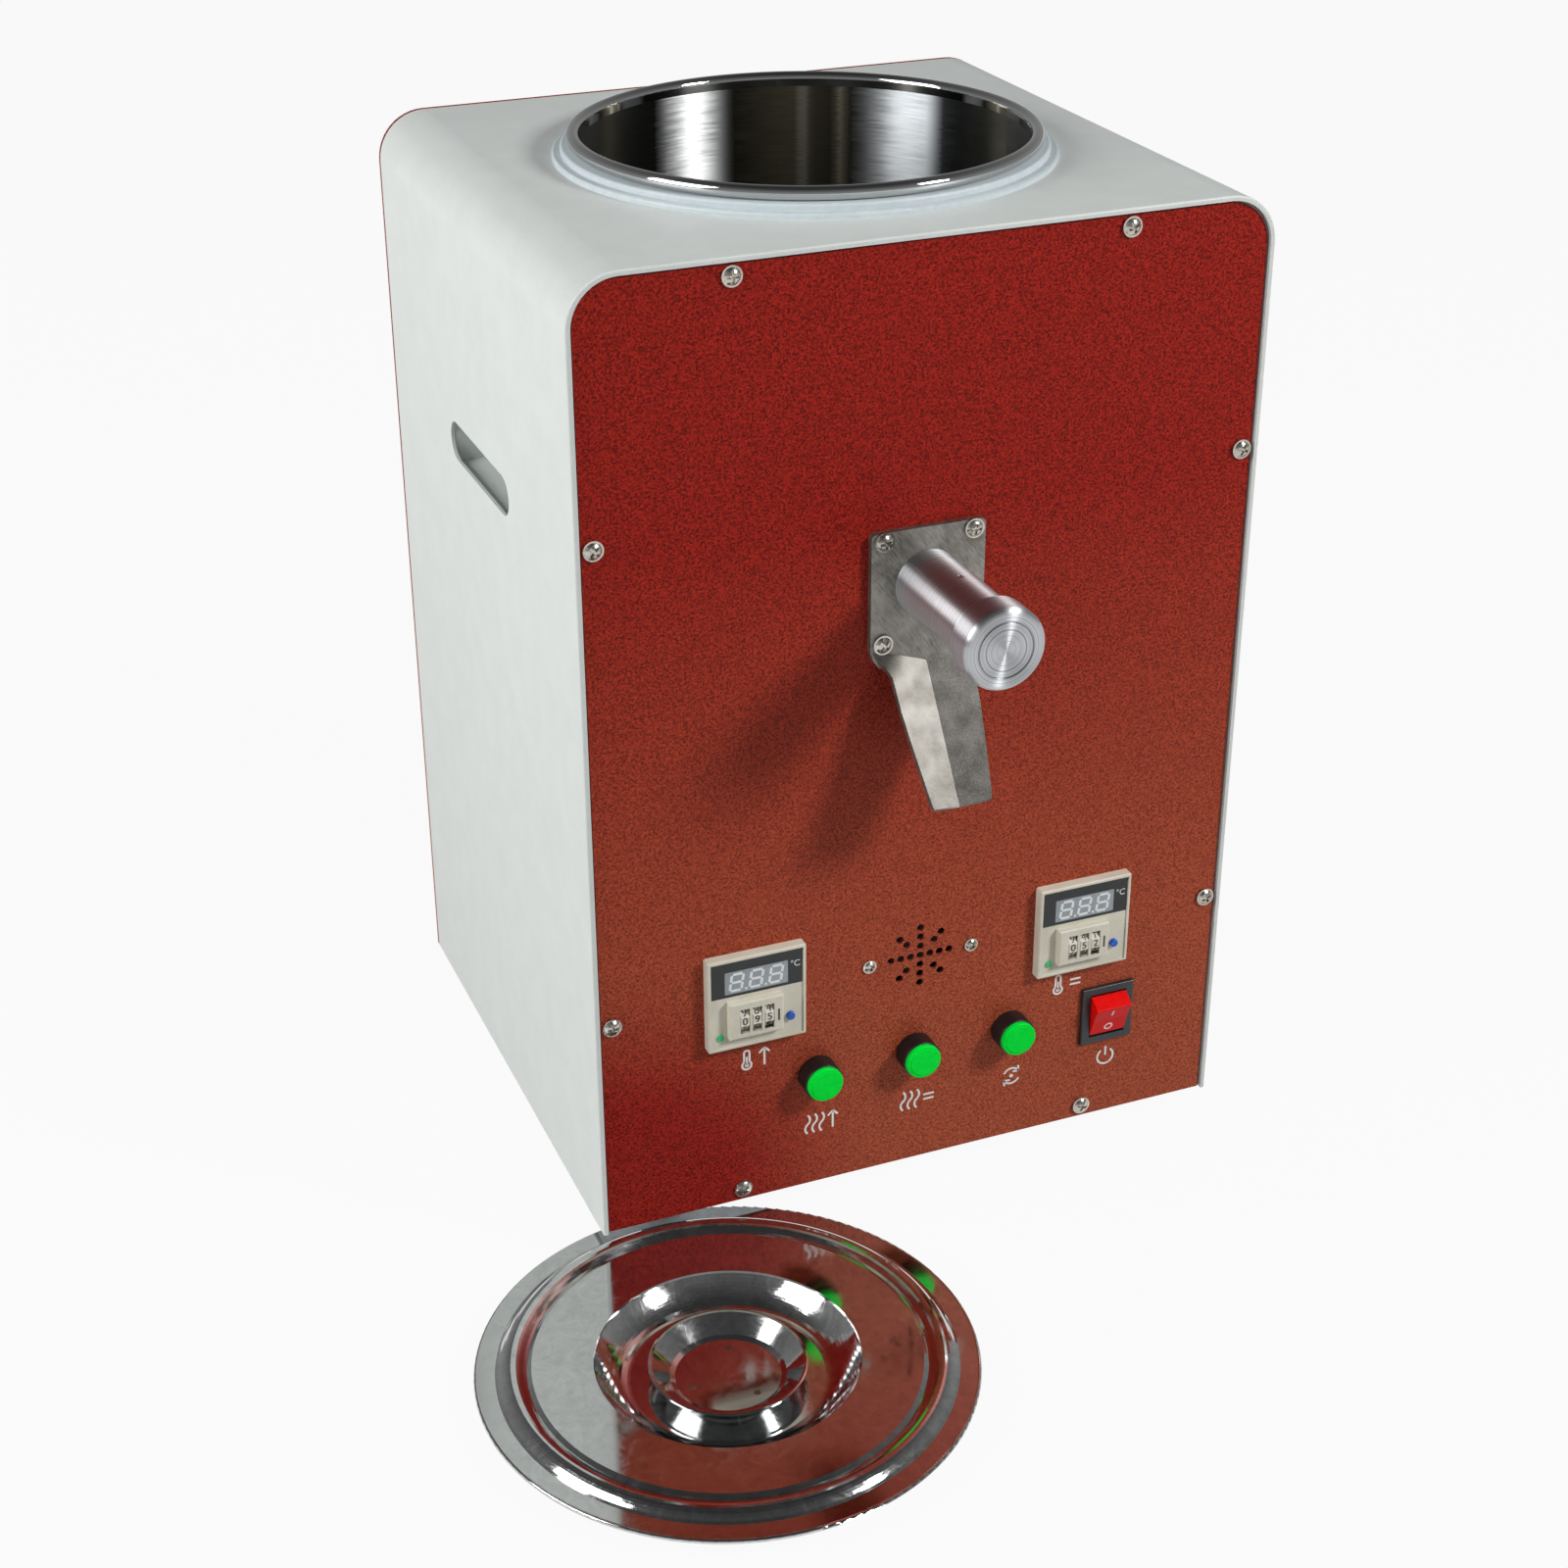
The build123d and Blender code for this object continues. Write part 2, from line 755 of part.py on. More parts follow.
def make_hand_pockets():
    """A bent-sheet pocket behind each hand slot, closed on every other side."""
    half = slot_len / 2 + pocket_end_room
    floor = case_bottom + slot_z - slot_h / 2 - pocket_floor_drop
    roof = case_bottom + slot_z + slot_h / 2 + pocket_headroom
    for name, side in (("left_hand_pocket", -1), ("right_hand_pocket", 1)):
        mouth = side * (case_w / 2 - sheet)
        back = side * (case_w / 2 - sheet - pocket_depth)
        wall = side * pocket_wall
        shell = box(back - wall, mouth, slot_y - half - pocket_wall, slot_y + half + pocket_wall,
                    floor - pocket_wall, roof + pocket_wall)
        lip = box(mouth - wall, mouth, slot_y - half - pocket_lip, slot_y + half + pocket_lip,
                  floor - pocket_lip, roof + pocket_lip)
        hollow = box(back, mouth + wall, slot_y - half, slot_y + half, floor, roof)
        save(name, shell + lip - hollow)


def make_panel_screws():
    """The screws of both panels, with two for the loudspeaker and two for the mains inlet."""
    pieces = []
    back = wrap_back + panel_t
    screw = pan_screw(m5_r, m5_head_r, m5_head_h, m5_panel_len)
    for index, (x, z) in enumerate(panel_screw_places()):
        pieces.append(towards_front(x, front_y, z, 23.0 * index) * screw)
        pieces.append(towards_back(x, back, z, 29.0 * index) * screw)
    screw = pan_screw(m4_r, m4_head_r, m4_head_h, m4_panel_len)
    for index, side in enumerate((-1, 1)):
        x = side * speaker_screw_dx
        pieces.append(towards_front(x, front_y, case_bottom + speaker_z, 20.0 + 31.0 * index) * screw)
        x = inlet_x + side * inlet_screw_dx
        pieces.append(towards_back(x, back + inlet_flange_t, case_bottom + inlet_z, 15.0) * screw)
    save("panel_screws", pieces)


def make_pot():
    """The stainless pot: a deep-drawn cylinder with a curled rim, a shaft hole and an outlet hole."""
    skin = cyl_z(pot_outer_r, 0, 0, pot_under, rim_centre_z)
    corner = [e for e in skin.edges() if abs(e.center().Z - pot_under) < 0.01]
    skin = fillet(corner, pot_corner_r + pot_wall)
    hollow = cyl_z(pot_r, 0, 0, pot_floor, rim_centre_z + 1)
    corner = [e for e in hollow.edges() if abs(e.center().Z - pot_floor) < 0.01]
    hollow = fillet(corner, pot_corner_r)

    def on_curl(radius, degrees):
        angle = math.radians(degrees)
        across = radius * math.cos(angle)
        return (rim_centre_r + across, 0, rim_centre_z + radius * math.sin(angle))

    outer = pot_rim_tube_r
    inner = pot_rim_tube_r - rim_sheet
    middle = (180 + rim_curl_end) / 2
    curl = Wire([
        ThreePointArc(on_curl(outer, 180), on_curl(outer, middle), on_curl(outer, rim_curl_end)),
        Line(on_curl(outer, rim_curl_end), on_curl(inner, rim_curl_end)),
        ThreePointArc(on_curl(inner, rim_curl_end), on_curl(inner, middle), on_curl(inner, 180)),
        Line(on_curl(inner, 180), on_curl(outer, 180)),
    ])
    pot = skin - hollow + revolve(Face(curl), Axis.Z)
    pot = Pos(0, pot_y, 0) * pot
    pot = pot - cyl_z(gland_stem_r + screw_gap, 0, pot_y, pot_under - 1, pot_floor + 1)
    pot = pot - cyl_y(bore_r, tap_x, tap_z, pot_y - pot_outer_r - 5, pot_y - pot_r / 2)
    save("pot", pot)


def make_seat_ring():
    """The soft white ring that carries the pot's rim and centres it in the casing's hole."""
    inner = pot_outer_r + ring_pot_gap
    top = rim_centre_z - pot_rim_tube_r - 0.05
    bottom = case_top - sheet - ring_spigot_drop
    ring = turned([
        (inner, bottom), (ring_spigot_r, bottom), (ring_spigot_r, case_top),
        (ring_r, case_top), (ring_r, case_top + ring_step_h),
        (ring_step_r, case_top + ring_step_h), (ring_step_r, top), (inner, top),
    ], 0, pot_y)
    rounds = [e for e in ring.edges() if e.geom_type == GeomType.CIRCLE and e.center().Z > case_top + 0.1]
    shoulder = [e for e in rounds if abs(e.radius - ring_r) < 0.01]
    crown = [e for e in rounds if abs(e.radius - ring_step_r) < 0.01]
    crown = [e for e in crown if abs(e.center().Z - top) < 0.01]
    save("seat_ring", fillet(shoulder + crown, ring_edge_r))


def make_heater():
    """The clamped band heater round the pot, with its clamp bolt."""
    inner = pot_outer_r + heater_gap
    outer = inner + heater_t
    bottom = pot_floor + heater_bottom
    top = bottom + heater_h
    band = tube_z(outer, inner, 0, pot_y, bottom, top)
    back = pot_y + outer
    split = box(-heater_split_w / 2, heater_split_w / 2, pot_y, back + 5, bottom - 1, top + 1)
    band = band - split
    for side in (-1, 1):
        near = side * heater_split_w / 2
        far = side * (heater_split_w / 2 + heater_ear_w)
        band = band + box(near, far, back - heater_t, back + heater_ear_len,
                          bottom + heater_ear_margin, top - heater_ear_margin)
    bolt_y = back + heater_ear_len * 0.6
    bolt_z = (bottom + top) / 2
    reach = heater_split_w / 2 + heater_ear_w
    band = band - cyl_x(clamp_bolt_r + screw_gap, bolt_y, bolt_z, -reach - 1, reach + 1)
    bolt = cyl_x(clamp_bolt_r, bolt_y, bolt_z, -reach - clamp_bolt_tail, reach)
    bolt = bolt + cyl_x(2 * clamp_bolt_r, bolt_y, bolt_z, reach, reach + clamp_nut_t)
    nut = cyl_x(2 * clamp_bolt_r, bolt_y, bolt_z, -reach - clamp_nut_t, -reach)
    nut_bore = clamp_bolt_r + screw_gap / 2
    nut = nut - cyl_x(nut_bore, bolt_y, bolt_z, -reach - clamp_bolt_tail, -reach + 1)
    save("band_heater", [band, bolt, nut])


def make_jacket():
    """The insulation wrapped round the pot, open for the clamp at the back and the outlet in front."""
    inner = pot_outer_r + heater_gap + heater_t + jacket_gap
    outer = inner + jacket_t
    bottom = pot_under + jacket_bottom_rise
    top = case_top - sheet - ring_spigot_drop - jacket_top_gap
    jacket = tube_z(outer, inner, 0, pot_y, bottom, top)
    slit = jacket_slit_w / 2
    jacket = jacket - box(-slit, slit, pot_y, pot_y + outer + 5, bottom - 1, top + 1)
    port = jacket_port_w / 2
    jacket = jacket - box(tap_x - port, tap_x + port, pot_y - outer - 5, pot_y - inner + 10,
                          bottom - 1, tap_z + jacket_port_h / 2)
    save("insulation_jacket", jacket)


def make_nozzle():
    """The outlet pipe welded to the pot, with the flange that the tap's screws bite into."""
    flange_back = wrap_front + nozzle_flange_t
    pipe = cyl_y(nozzle_r, tap_x, tap_z, pot_y - pot_r / 2, wrap_front)
    flange = box(tap_x - tap_plate_w / 2, tap_x + tap_plate_w / 2, wrap_front, flange_back,
                 tap_z - tap_plate_down, tap_z + tap_plate_up)
    nozzle = pipe + flange
    nozzle = nozzle - cyl_z(pot_outer_r + 0.02, 0, pot_y, tap_z - 40, tap_z + 40)
    nozzle = nozzle - cyl_y(bore_r, tap_x, tap_z, pot_y - pot_r / 2, wrap_front - 1)
    for x, z in tap_screw_places():
        nozzle = nozzle - cyl_y(m5_r + screw_gap / 2, x, z, wrap_front - 1, flange_back + 1)
    save("outlet_nozzle", nozzle)


def make_gasket():
    """The soft ring that seals the tap to the outlet, in the panel's hole."""
    save("outlet_gasket", tube_y(gasket_r, bore_r, tap_x, tap_z, front_y, wrap_front))


def chute_section(along, half):
    """A V-shaped section square to the chute, as a closed wire."""
    angle = math.radians(chute_angle)
    down = (0.0, -math.sin(angle), -math.cos(angle))
    up = (0.0, -math.cos(angle), math.sin(angle))
    start = (tap_x, front_y - chute_start_offset, tap_z - chute_start_drop)

    def point(across, rise):
        x = start[0] + across
        y = start[1] + along * down[1] + rise * up[1]
        z = start[2] + along * down[2] + rise * up[2]
        return (x, y, z)

    edge_under = chute_depth - chute_wall
    return Wire(Polyline([
        point(0, 0), point(half, chute_depth), point(half, edge_under),
        point(0, -chute_wall), point(-half, edge_under), point(-half, chute_depth),
    ], close=True).edges())


def make_tap_body():
    """The cast tap body: a flange bored for the barrel, and a sloping V chute."""
    middle = tap_z + (tap_plate_up - tap_plate_down) / 2
    outline = RectangleRounded(tap_plate_w, tap_plate_up + tap_plate_down, tap_plate_r)
    body = extrude(facing_front(tap_x, front_y, middle) * outline, amount=tap_plate_t)
    tip = chute_len - chute_tip_r
    turn = chute_tip_r * (1 - math.sqrt(0.5))
    stations = list(chute_outline)
    stations.append((tip, chute_tip_half_w))
    stations.append((chute_len - turn, chute_tip_half_w - turn))
    stations.append((chute_len, chute_tip_half_w - chute_tip_r))
    for near, far in zip(stations[:-1], stations[1:]):
        body = body + Solid.make_loft([chute_section(*near), chute_section(*far)], True)
    root = chute_outline[0][1]
    low = tap_z - tap_plate_down - chute_neck_drop
    high = tap_z - tap_plate_down + 1
    corner = chute_neck_corner
    neck = Polyline([
        (tap_x - root, front_y, high), (tap_x - root + 1, front_y, low + corner),
        (tap_x - root + corner, front_y, low), (tap_x + root - corner, front_y, low),
        (tap_x + root - 1, front_y, low + corner), (tap_x + root, front_y, high),
    ], close=True)
    body = body + extrude(Face(Wire(neck.edges())), amount=tap_plate_t, dir=(0, -1, 0))
    body = body - box(tap_x - tap_plate_w, tap_x + tap_plate_w, front_y, front_y + 20, 0, case_top)
    body = body - cyl_y(barrel_r + barrel_fit, tap_x, tap_z, front_y + 1, barrel_end_y - 1)
    face = front_y - tap_plate_t
    for x, z in tap_screw_places():
        body = body - cyl_y(m5_r + screw_gap, x, z, front_y + 1, face - 2)
        body = body - cyl_y(m5_head_r + screw_gap, x, z, face, face - m5_head_h)
    save("tap_body", body)


def make_tap_barrel():
    """The turned barrel pressed into the flange, with its port underneath."""
    low = tap_z - barrel_r - 1
    high = tap_z + barrel_r + 1
    barrel = tube_y(barrel_r, bore_r, tap_x, tap_z, front_y, barrel_end_y)
    barrel = barrel - cyl_z(port_r, tap_x, front_y - port_offset, low, tap_z)
    barrel = barrel - cyl_z(key_w / 2 + pin_fit, tap_x, front_y - key_at, tap_z, high)
    barrel = barrel - cyl_z(grub_r + pin_fit, tap_x, grub_y(), low, tap_z)
    save("tap_barrel", barrel)


def grub_y():
    """Where the retaining screw crosses the barrel, at the middle of the knob's groove."""
    return knob_back_y + spigot_len / 2 + thrust_gap


def make_tap_screws():
    """The four screws that clamp tap, panel and outlet flange together."""
    pieces = []
    screw = pan_screw(m5_r, m5_head_r, m5_head_h, tap_plate_t + panel_t + nozzle_flange_t)
    for index, (x, z) in enumerate(tap_screw_places()):
        pieces.append(towards_front(x, front_y - tap_plate_t, z, 37.0 * index + 12.0) * screw)
    save("tap_screws", pieces)


def make_tap_pins():
    """The key that stops the plunger turning, and the retaining screw that holds the knob."""
    key_y = front_y - key_at
    key = cyl_z(key_w / 2, tap_x, key_y, tap_z + bore_r - key_bite, tap_z + barrel_r - 0.3)
    grub = cyl_z(grub_r, tap_x, grub_y(), tap_z - barrel_r + 0.4, tap_z - spigot_groove_r - 0.2)
    hex_r = grub_r * 0.55
    grub = grub - hexagon_z(hex_r, tap_x, grub_y(), tap_z - barrel_r - 1, tap_z - barrel_r + 2)
    save("tap_pins", [key, grub])


def make_plunger():
    """The plunger that closes the outlet. It slides, and its rear half takes the knob's thread."""
    radius = bore_r - plunger_gap
    tip = front_y - plunger_tip_offset
    rear = tip - plunger_len
    plunger = cyl_y(radius, tap_x, tap_z, tip, rear)
    plunger = plunger - cyl_y(thread_r + thread_gap, tap_x, tap_z, tip - plunger_nose, rear - 1)
    groove_r = bore_r - 2 * oring_r - oring_squeeze
    for place in oring_places:
        middle = tip - place
        half = oring_r + 0.1
        plunger = plunger - tube_y(radius + 1, groove_r, tap_x, tap_z, middle + half, middle - half)
    slot_half = key_w / 2 + key_gap
    slot_front = front_y - key_at + key_w / 2 + plunger_travel + key_end_gap
    plunger = plunger - box(tap_x - slot_half, tap_x + slot_half, rear - 1, slot_front,
                            tap_z + bore_r - key_bite - key_gap, tap_z + bore_r + 1)
    save("tap_plunger", plunger)

    rings = []
    for place in oring_places:
        ring = Torus(bore_r - oring_r - oring_squeeze, oring_r - oring_squeeze / 2)
        rings.append(Pos(tap_x, tip - place, tap_z) * Rot(90, 0, 0) * ring)
    save("plunger_rings", rings)


def circles_at(shape, y):
    """The round edges of a shape that lie in the plane at y."""
    rounds = [e for e in shape.edges() if e.geom_type == GeomType.CIRCLE]
    return [e for e in rounds if abs(e.center().Y - y) < 0.01]


def make_knob():
    """The turned knob, with its bearing spigot and the stud that drives the plunger."""
    knob = cyl_y(knob_r, tap_x, tap_z, knob_back_y, knob_front_y)
    knob = fillet(circles_at(knob, knob_front_y), knob_edge_r)
    knob = fillet(circles_at(knob, knob_back_y), knob_back_edge_r)
    half = knob_ring_w / 2
    knob = knob - tube_y(knob_ring_r + half, knob_ring_r - half, tap_x, tap_z,
                         knob_front_y + knob_ring_depth, knob_front_y - 1)
    spigot_r = bore_r - plunger_gap
    spigot_end = knob_back_y + spigot_len
    knob = knob + cyl_y(spigot_r, tap_x, tap_z, knob_back_y - 1, spigot_end)
    half = spigot_groove_w / 2
    knob = knob - tube_y(spigot_r + 1, spigot_groove_r, tap_x, tap_z, grub_y() + half, grub_y() - half)
    stud_end = front_y - plunger_tip_offset - plunger_len + thread_overlap
    knob = knob + cyl_y(thread_r, tap_x, tap_z, spigot_end - 1, stud_end)
    save("tap_knob", knob)
    near = barrel_end_y - thrust_gap
    washer = tube_y(knob_washer_r, bore_r, tap_x, tap_z, near, near - knob_washer_t)
    save("knob_washer", washer)


def make_deck():
    """The deck across the casing that carries the gear motor and the sensors."""
    half_x = case_w / 2 - sheet - deck_gap
    half_y = wrap_back - sheet - deck_gap
    deck = box(-half_x, half_x, -half_y, half_y, deck_z, deck_z + deck_t)
    for side in (-1, 1):
        edge = side * half_x
        deck = deck + box(edge - side * deck_t, edge, -half_y, half_y, deck_z - deck_lip, deck_z + deck_t)
    deck = deck - cyl_z(motor_neck_r + 1, 0, pot_y, deck_z - 1, deck_z + deck_t + 1)
    for x, y in probe_places:
        deck = deck - cyl_z(probe_stem_r + 1, x, y, deck_z - 1, deck_z + deck_t + 1)
    half = deck_window / 2
    for x in (-deck_window_at, deck_window_at):
        for y in (-deck_window_at, deck_window_at):
            deck = deck - box(x - half, x + half, y - half, y + half, deck_z - 1, deck_z + deck_t + 1)
    save("support_deck", deck)


def make_motor():
    """The gear motor under the deck: gearbox, motor can and a bored neck for its output shaft."""
    gearbox = cyl_z(motor_r, 0, pot_y, deck_z - gearbox_h, deck_z)
    can = cyl_z(motor_can_r, 0, pot_y, deck_z - motor_h, deck_z - gearbox_h)
    neck = cyl_z(motor_neck_r, 0, pot_y, deck_z, deck_z + motor_neck_rise)
    motor = gearbox + can + neck
    shaft_bottom = deck_z - motor_shaft_depth
    motor = motor - cyl_z(motor_shaft_r + shaft_gap, 0, pot_y, shaft_bottom, deck_z + 10)
    save("gear_motor", motor)


def coupling_bottom():
    """The underside of the coupling, above the motor's neck."""
    return deck_z + coupling_rise


def make_stirrer():
    """Motor output shaft and coupling, stirrer shaft and two-bladed paddle."""
    low = coupling_bottom()
    high = low + coupling_h
    meet = deck_z + motor_shaft_out
    coupling = cyl_z(coupling_r, 0, pot_y, low, high)
    coupling = coupling - cyl_z(motor_shaft_r + 0.02, 0, pot_y, low - 1, meet + 0.5)
    coupling = coupling - cyl_z(shaft_r + 0.02, 0, pot_y, meet + 0.5, high + 1)
    motor_shaft = cyl_z(motor_shaft_r, 0, pot_y, deck_z - motor_shaft_depth + 0.3, meet)
    save("drive_coupling", [coupling, motor_shaft])

    top = pot_floor + shaft_above_floor
    save("stirrer_shaft", cyl_z(shaft_r, 0, pot_y, meet + 1, top))

    hub_low = pot_floor + paddle_rise
    hub_high = hub_low + paddle_hub_h
    paddle = cyl_z(paddle_hub_r, 0, pot_y, hub_low, hub_high)
    for side in (-1, 1):
        blade = box(0, side * paddle_reach, -paddle_t / 2, paddle_t / 2, -paddle_h / 2, paddle_h / 2)
        blade = Rot(side * paddle_pitch, 0, 0) * blade
        paddle = paddle + Pos(0, pot_y, (hub_low + hub_high) / 2) * blade
    paddle = paddle - cyl_z(shaft_r + 0.02, 0, pot_y, hub_low - 5, hub_high + 5)
    save("stirrer_paddle", paddle)


def make_gland():
    """The bush that carries the stirrer shaft through the pot's floor, with its nut and lip seal."""
    flange_low = pot_under - gland_flange_t
    low = flange_low - gland_drop
    nut_top = pot_floor + gland_nut_h
    gland = cyl_z(gland_flange_r, 0, pot_y, flange_low, pot_under)
    gland = gland + cyl_z(gland_stem_r + 2, 0, pot_y, low, flange_low)
    gland = gland + cyl_z(gland_stem_r, 0, pot_y, flange_low, nut_top + 1)
    gland = gland - cyl_z(shaft_r + shaft_gap, 0, pot_y, low - 1, nut_top + 2)
    gland = gland - cyl_z(seal_r, 0, pot_y, low - 1, low + seal_h)
    nut = hexagon_z(gland_nut_r, 0, pot_y, pot_floor, nut_top)
    nut = nut - cyl_z(gland_stem_r + screw_gap / 2, 0, pot_y, pot_floor - 1, nut_top + 1)
    save("shaft_gland", [gland, nut])
    save("shaft_seal", tube_z(seal_r, shaft_r + shaft_gap, 0, pot_y, low, low + seal_h))


def make_sensors():
    """Two spring probes on the deck that press on the pot's floor, and the thermal cut-out."""
    deck_top = deck_z + deck_t
    touch = pot_under - sensor_gap
    probes = []
    for x, y in probe_places:
        body = cyl_z(probe_r, x, y, deck_top, deck_top + probe_body_h)
        stem = cyl_z(probe_stem_r, x, y, deck_z - probe_stem_drop, touch)
        probes.append(body + stem)
    save("temperature_probes", probes)

    x, y = cutout_place
    low = touch - cutout_h
    disc = cyl_z(cutout_r, x, y, low, touch)
    half_w = cutout_strap_w / 2
    t = cutout_strap_t
    reach = cutout_strap_half
    strap = box(x - reach, x + reach, y - half_w, y + half_w, low - t, low)
    for side in (-1, 1):
        leg = x + side * reach
        strap = strap + box(leg - side * t, leg, y - half_w, y + half_w, deck_top, low)
        foot = leg + side * cutout_strap_foot
        strap = strap + box(leg - side * t, foot, y - half_w, y + half_w, deck_top, deck_top + t)
    save("thermal_cutout", [disc, strap])


def wheel_places(x):
    """The middle of each of a controller's three digit wheels, from left to right."""
    middle = x + block_x + wheel_x_shift
    return [middle + step * wheel_pitch for step in (-1, 0, 1)]


def wheel_axis(z):
    """The y and z of the digit wheels' axle."""
    front = front_y - ctrl_bezel_t - block_t
    return front - wheel_proud + wheel_r, z + block_z + wheel_z_shift


def make_digit_wheel(node, x, z):
    """A ten-sided digit wheel, with a finger rib at each corner."""
    axis_y, axis_z = wheel_axis(z)
    flat = wheel_r * math.cos(math.pi / wheel_faces)
    side = Plane(origin=(x - wheel_w / 2, axis_y, axis_z), x_dir=(0, 1, 0), z_dir=(1, 0, 0))
    turn = 180.0 / wheel_faces
    outline = Rot(0, 0, turn) * RegularPolygon(flat, wheel_faces, major_radius=True)
    wheel = extrude(side * outline, amount=wheel_w)
    reach = flat - wheel_rib_sunk
    for index in range(wheel_faces):
        angle = math.radians(360.0 * index / wheel_faces + turn)
        rib_y = axis_y + reach * math.cos(angle)
        rib_z = axis_z + reach * math.sin(angle)
        wheel = wheel + cyl_x(wheel_rib_r, rib_y, rib_z, x - wheel_w / 2, x + wheel_w / 2)
    wheel = wheel - cyl_x(wheel_bore_r, axis_y, axis_z, x - wheel_w, x + wheel_w)
    save(node, wheel)


def make_controller(name, x, z):
    """One temperature controller: case, window, three digit wheels and a reset button."""
    half = ctrl_face / 2
    bezel_front = front_y - ctrl_bezel_t
    case = box(x - half, x + half, bezel_front, front_y, z - half, z + half)
    case = fillet([e for e in case.edges() if e.center().Y < front_y - 0.5], ctrl_edge_r)
    face_y = bezel_front + ctrl_rim_h
    inner = half - ctrl_rim_w
    case = case - box(x - inner, x + inner, bezel_front - 1, face_y, z - inner, z + inner)
    body_half = ctrl_body / 2
    case = case + box(x - body_half, x + body_half, front_y - 1, front_y + ctrl_body_depth,
                      z - body_half, z + body_half)
    block_front = bezel_front - block_t
    bx = x + block_x
    bz = z + block_z
    block = box(bx - block_w / 2, bx + block_w / 2, block_front, front_y,
                bz - block_h / 2, bz + block_h / 2)
    rounds = [e for e in block.edges() if abs(e.center().Y - block_front) < 0.01]
    case = case + fillet(rounds, block_edge_r)

    axis_y, axis_z = wheel_axis(z)
    room = wheel_r + wheel_room
    span = 1.5 * wheel_pitch + wheel_side_room
    middle = bx + wheel_x_shift
    case = case - box(middle - span, middle + span, block_front + block_wall, axis_y + room,
                      axis_z - room, axis_z + room)
    slot_half = wheel_w / 2 + wheel_slot_gap
    for wheel_x in wheel_places(x):
        case = case - box(wheel_x - slot_half, wheel_x + slot_half, block_front - 1, axis_y,
                          axis_z - wheel_slot_h / 2, axis_z + wheel_slot_h / 2)
    case = case + cyl_x(wheel_axle_r, axis_y, axis_z, middle - span - 1, middle + span + 1)

    window_top = z + half - ctrl_window_top
    window_low = window_top - ctrl_window_h
    window_half = ctrl_window_w / 2
    window_back = face_y + ctrl_window_t
    case = case - box(x - window_half, x + window_half, bezel_front - 1, window_back,
                      window_low, window_top)
    reset_at = x + reset_x
    reset_up = z + reset_z
    hole_r = reset_r + reset_gap / 2
    case = case - cyl_y(hole_r, reset_at, reset_up, bezel_front - 1, bezel_front + reset_len + 2)
    lamp_at = x + lamp_x
    lamp_up = z + lamp_z
    lamp_back = face_y + lamp_len
    case = case - cyl_y(lamp_r, lamp_at, lamp_up, bezel_front - 1, lamp_back)
    save(f"{name}_controller_case", case)

    gap = ctrl_window_gap
    half = window_half - gap
    window = box(x - half, x + half, face_y + ctrl_window_sunk, window_back - gap / 2,
                 window_low + gap, window_top - gap)
    lamp = cyl_y(lamp_r - gap, lamp_at, lamp_up, face_y - lamp_proud, lamp_back)
    save(f"{name}_controller_window", [window, lamp])

    for digit, wheel_x in zip(("hundreds", "tens", "units"), wheel_places(x)):
        make_digit_wheel(f"{name}_{digit}_wheel", wheel_x, z)

    button_front = bezel_front - reset_proud
    button = cyl_y(reset_r, reset_at, reset_up, button_front, bezel_front + reset_len)
    save(f"{name}_reset_button", fillet(circles_at(button, button_front), reset_edge_r))


def make_controller_clamps():
    """The frame that clamps each controller against the panel from behind."""
    clamps = []
    for name, x, z in controller_places():
        outer = ctrl_clamp_w / 2
        inner = ctrl_body / 2 + 0.05
        y0 = wrap_front
        y1 = wrap_front + ctrl_clamp_t
        clamp = box(x - outer, x + outer, y0, y1, z - outer, z + outer)
        clamps.append(clamp - box(x - inner, x + inner, y0 - 1, y1 + 1, z - inner, z + inner))
    save("controller_clamps", clamps)


def make_speaker():
    """The alarm loudspeaker behind the panel's holes."""
    z = case_bottom + speaker_z
    back = wrap_front + speaker_flange_t
    length = 2 * (speaker_screw_dx + speaker_flange_end)
    flange_face = facing_front(0, back, z) * SlotOverall(length, speaker_flange_w)
    speaker = extrude(flange_face, amount=speaker_flange_t)
    speaker = speaker + cyl_y(speaker_cup_r, 0, z, wrap_front, wrap_front + speaker_cup_h)
    hollow_r = speaker_cup_r - speaker_cup_wall
    speaker = speaker - cyl_y(hollow_r, 0, z, wrap_front - 1, wrap_front + speaker_cup_depth)
    for side in (-1, 1):
        x = side * speaker_screw_dx
        speaker = speaker - cyl_y(m4_r + screw_gap / 2, x, z, wrap_front - 1, back + 1)
    save("alarm_speaker", speaker)


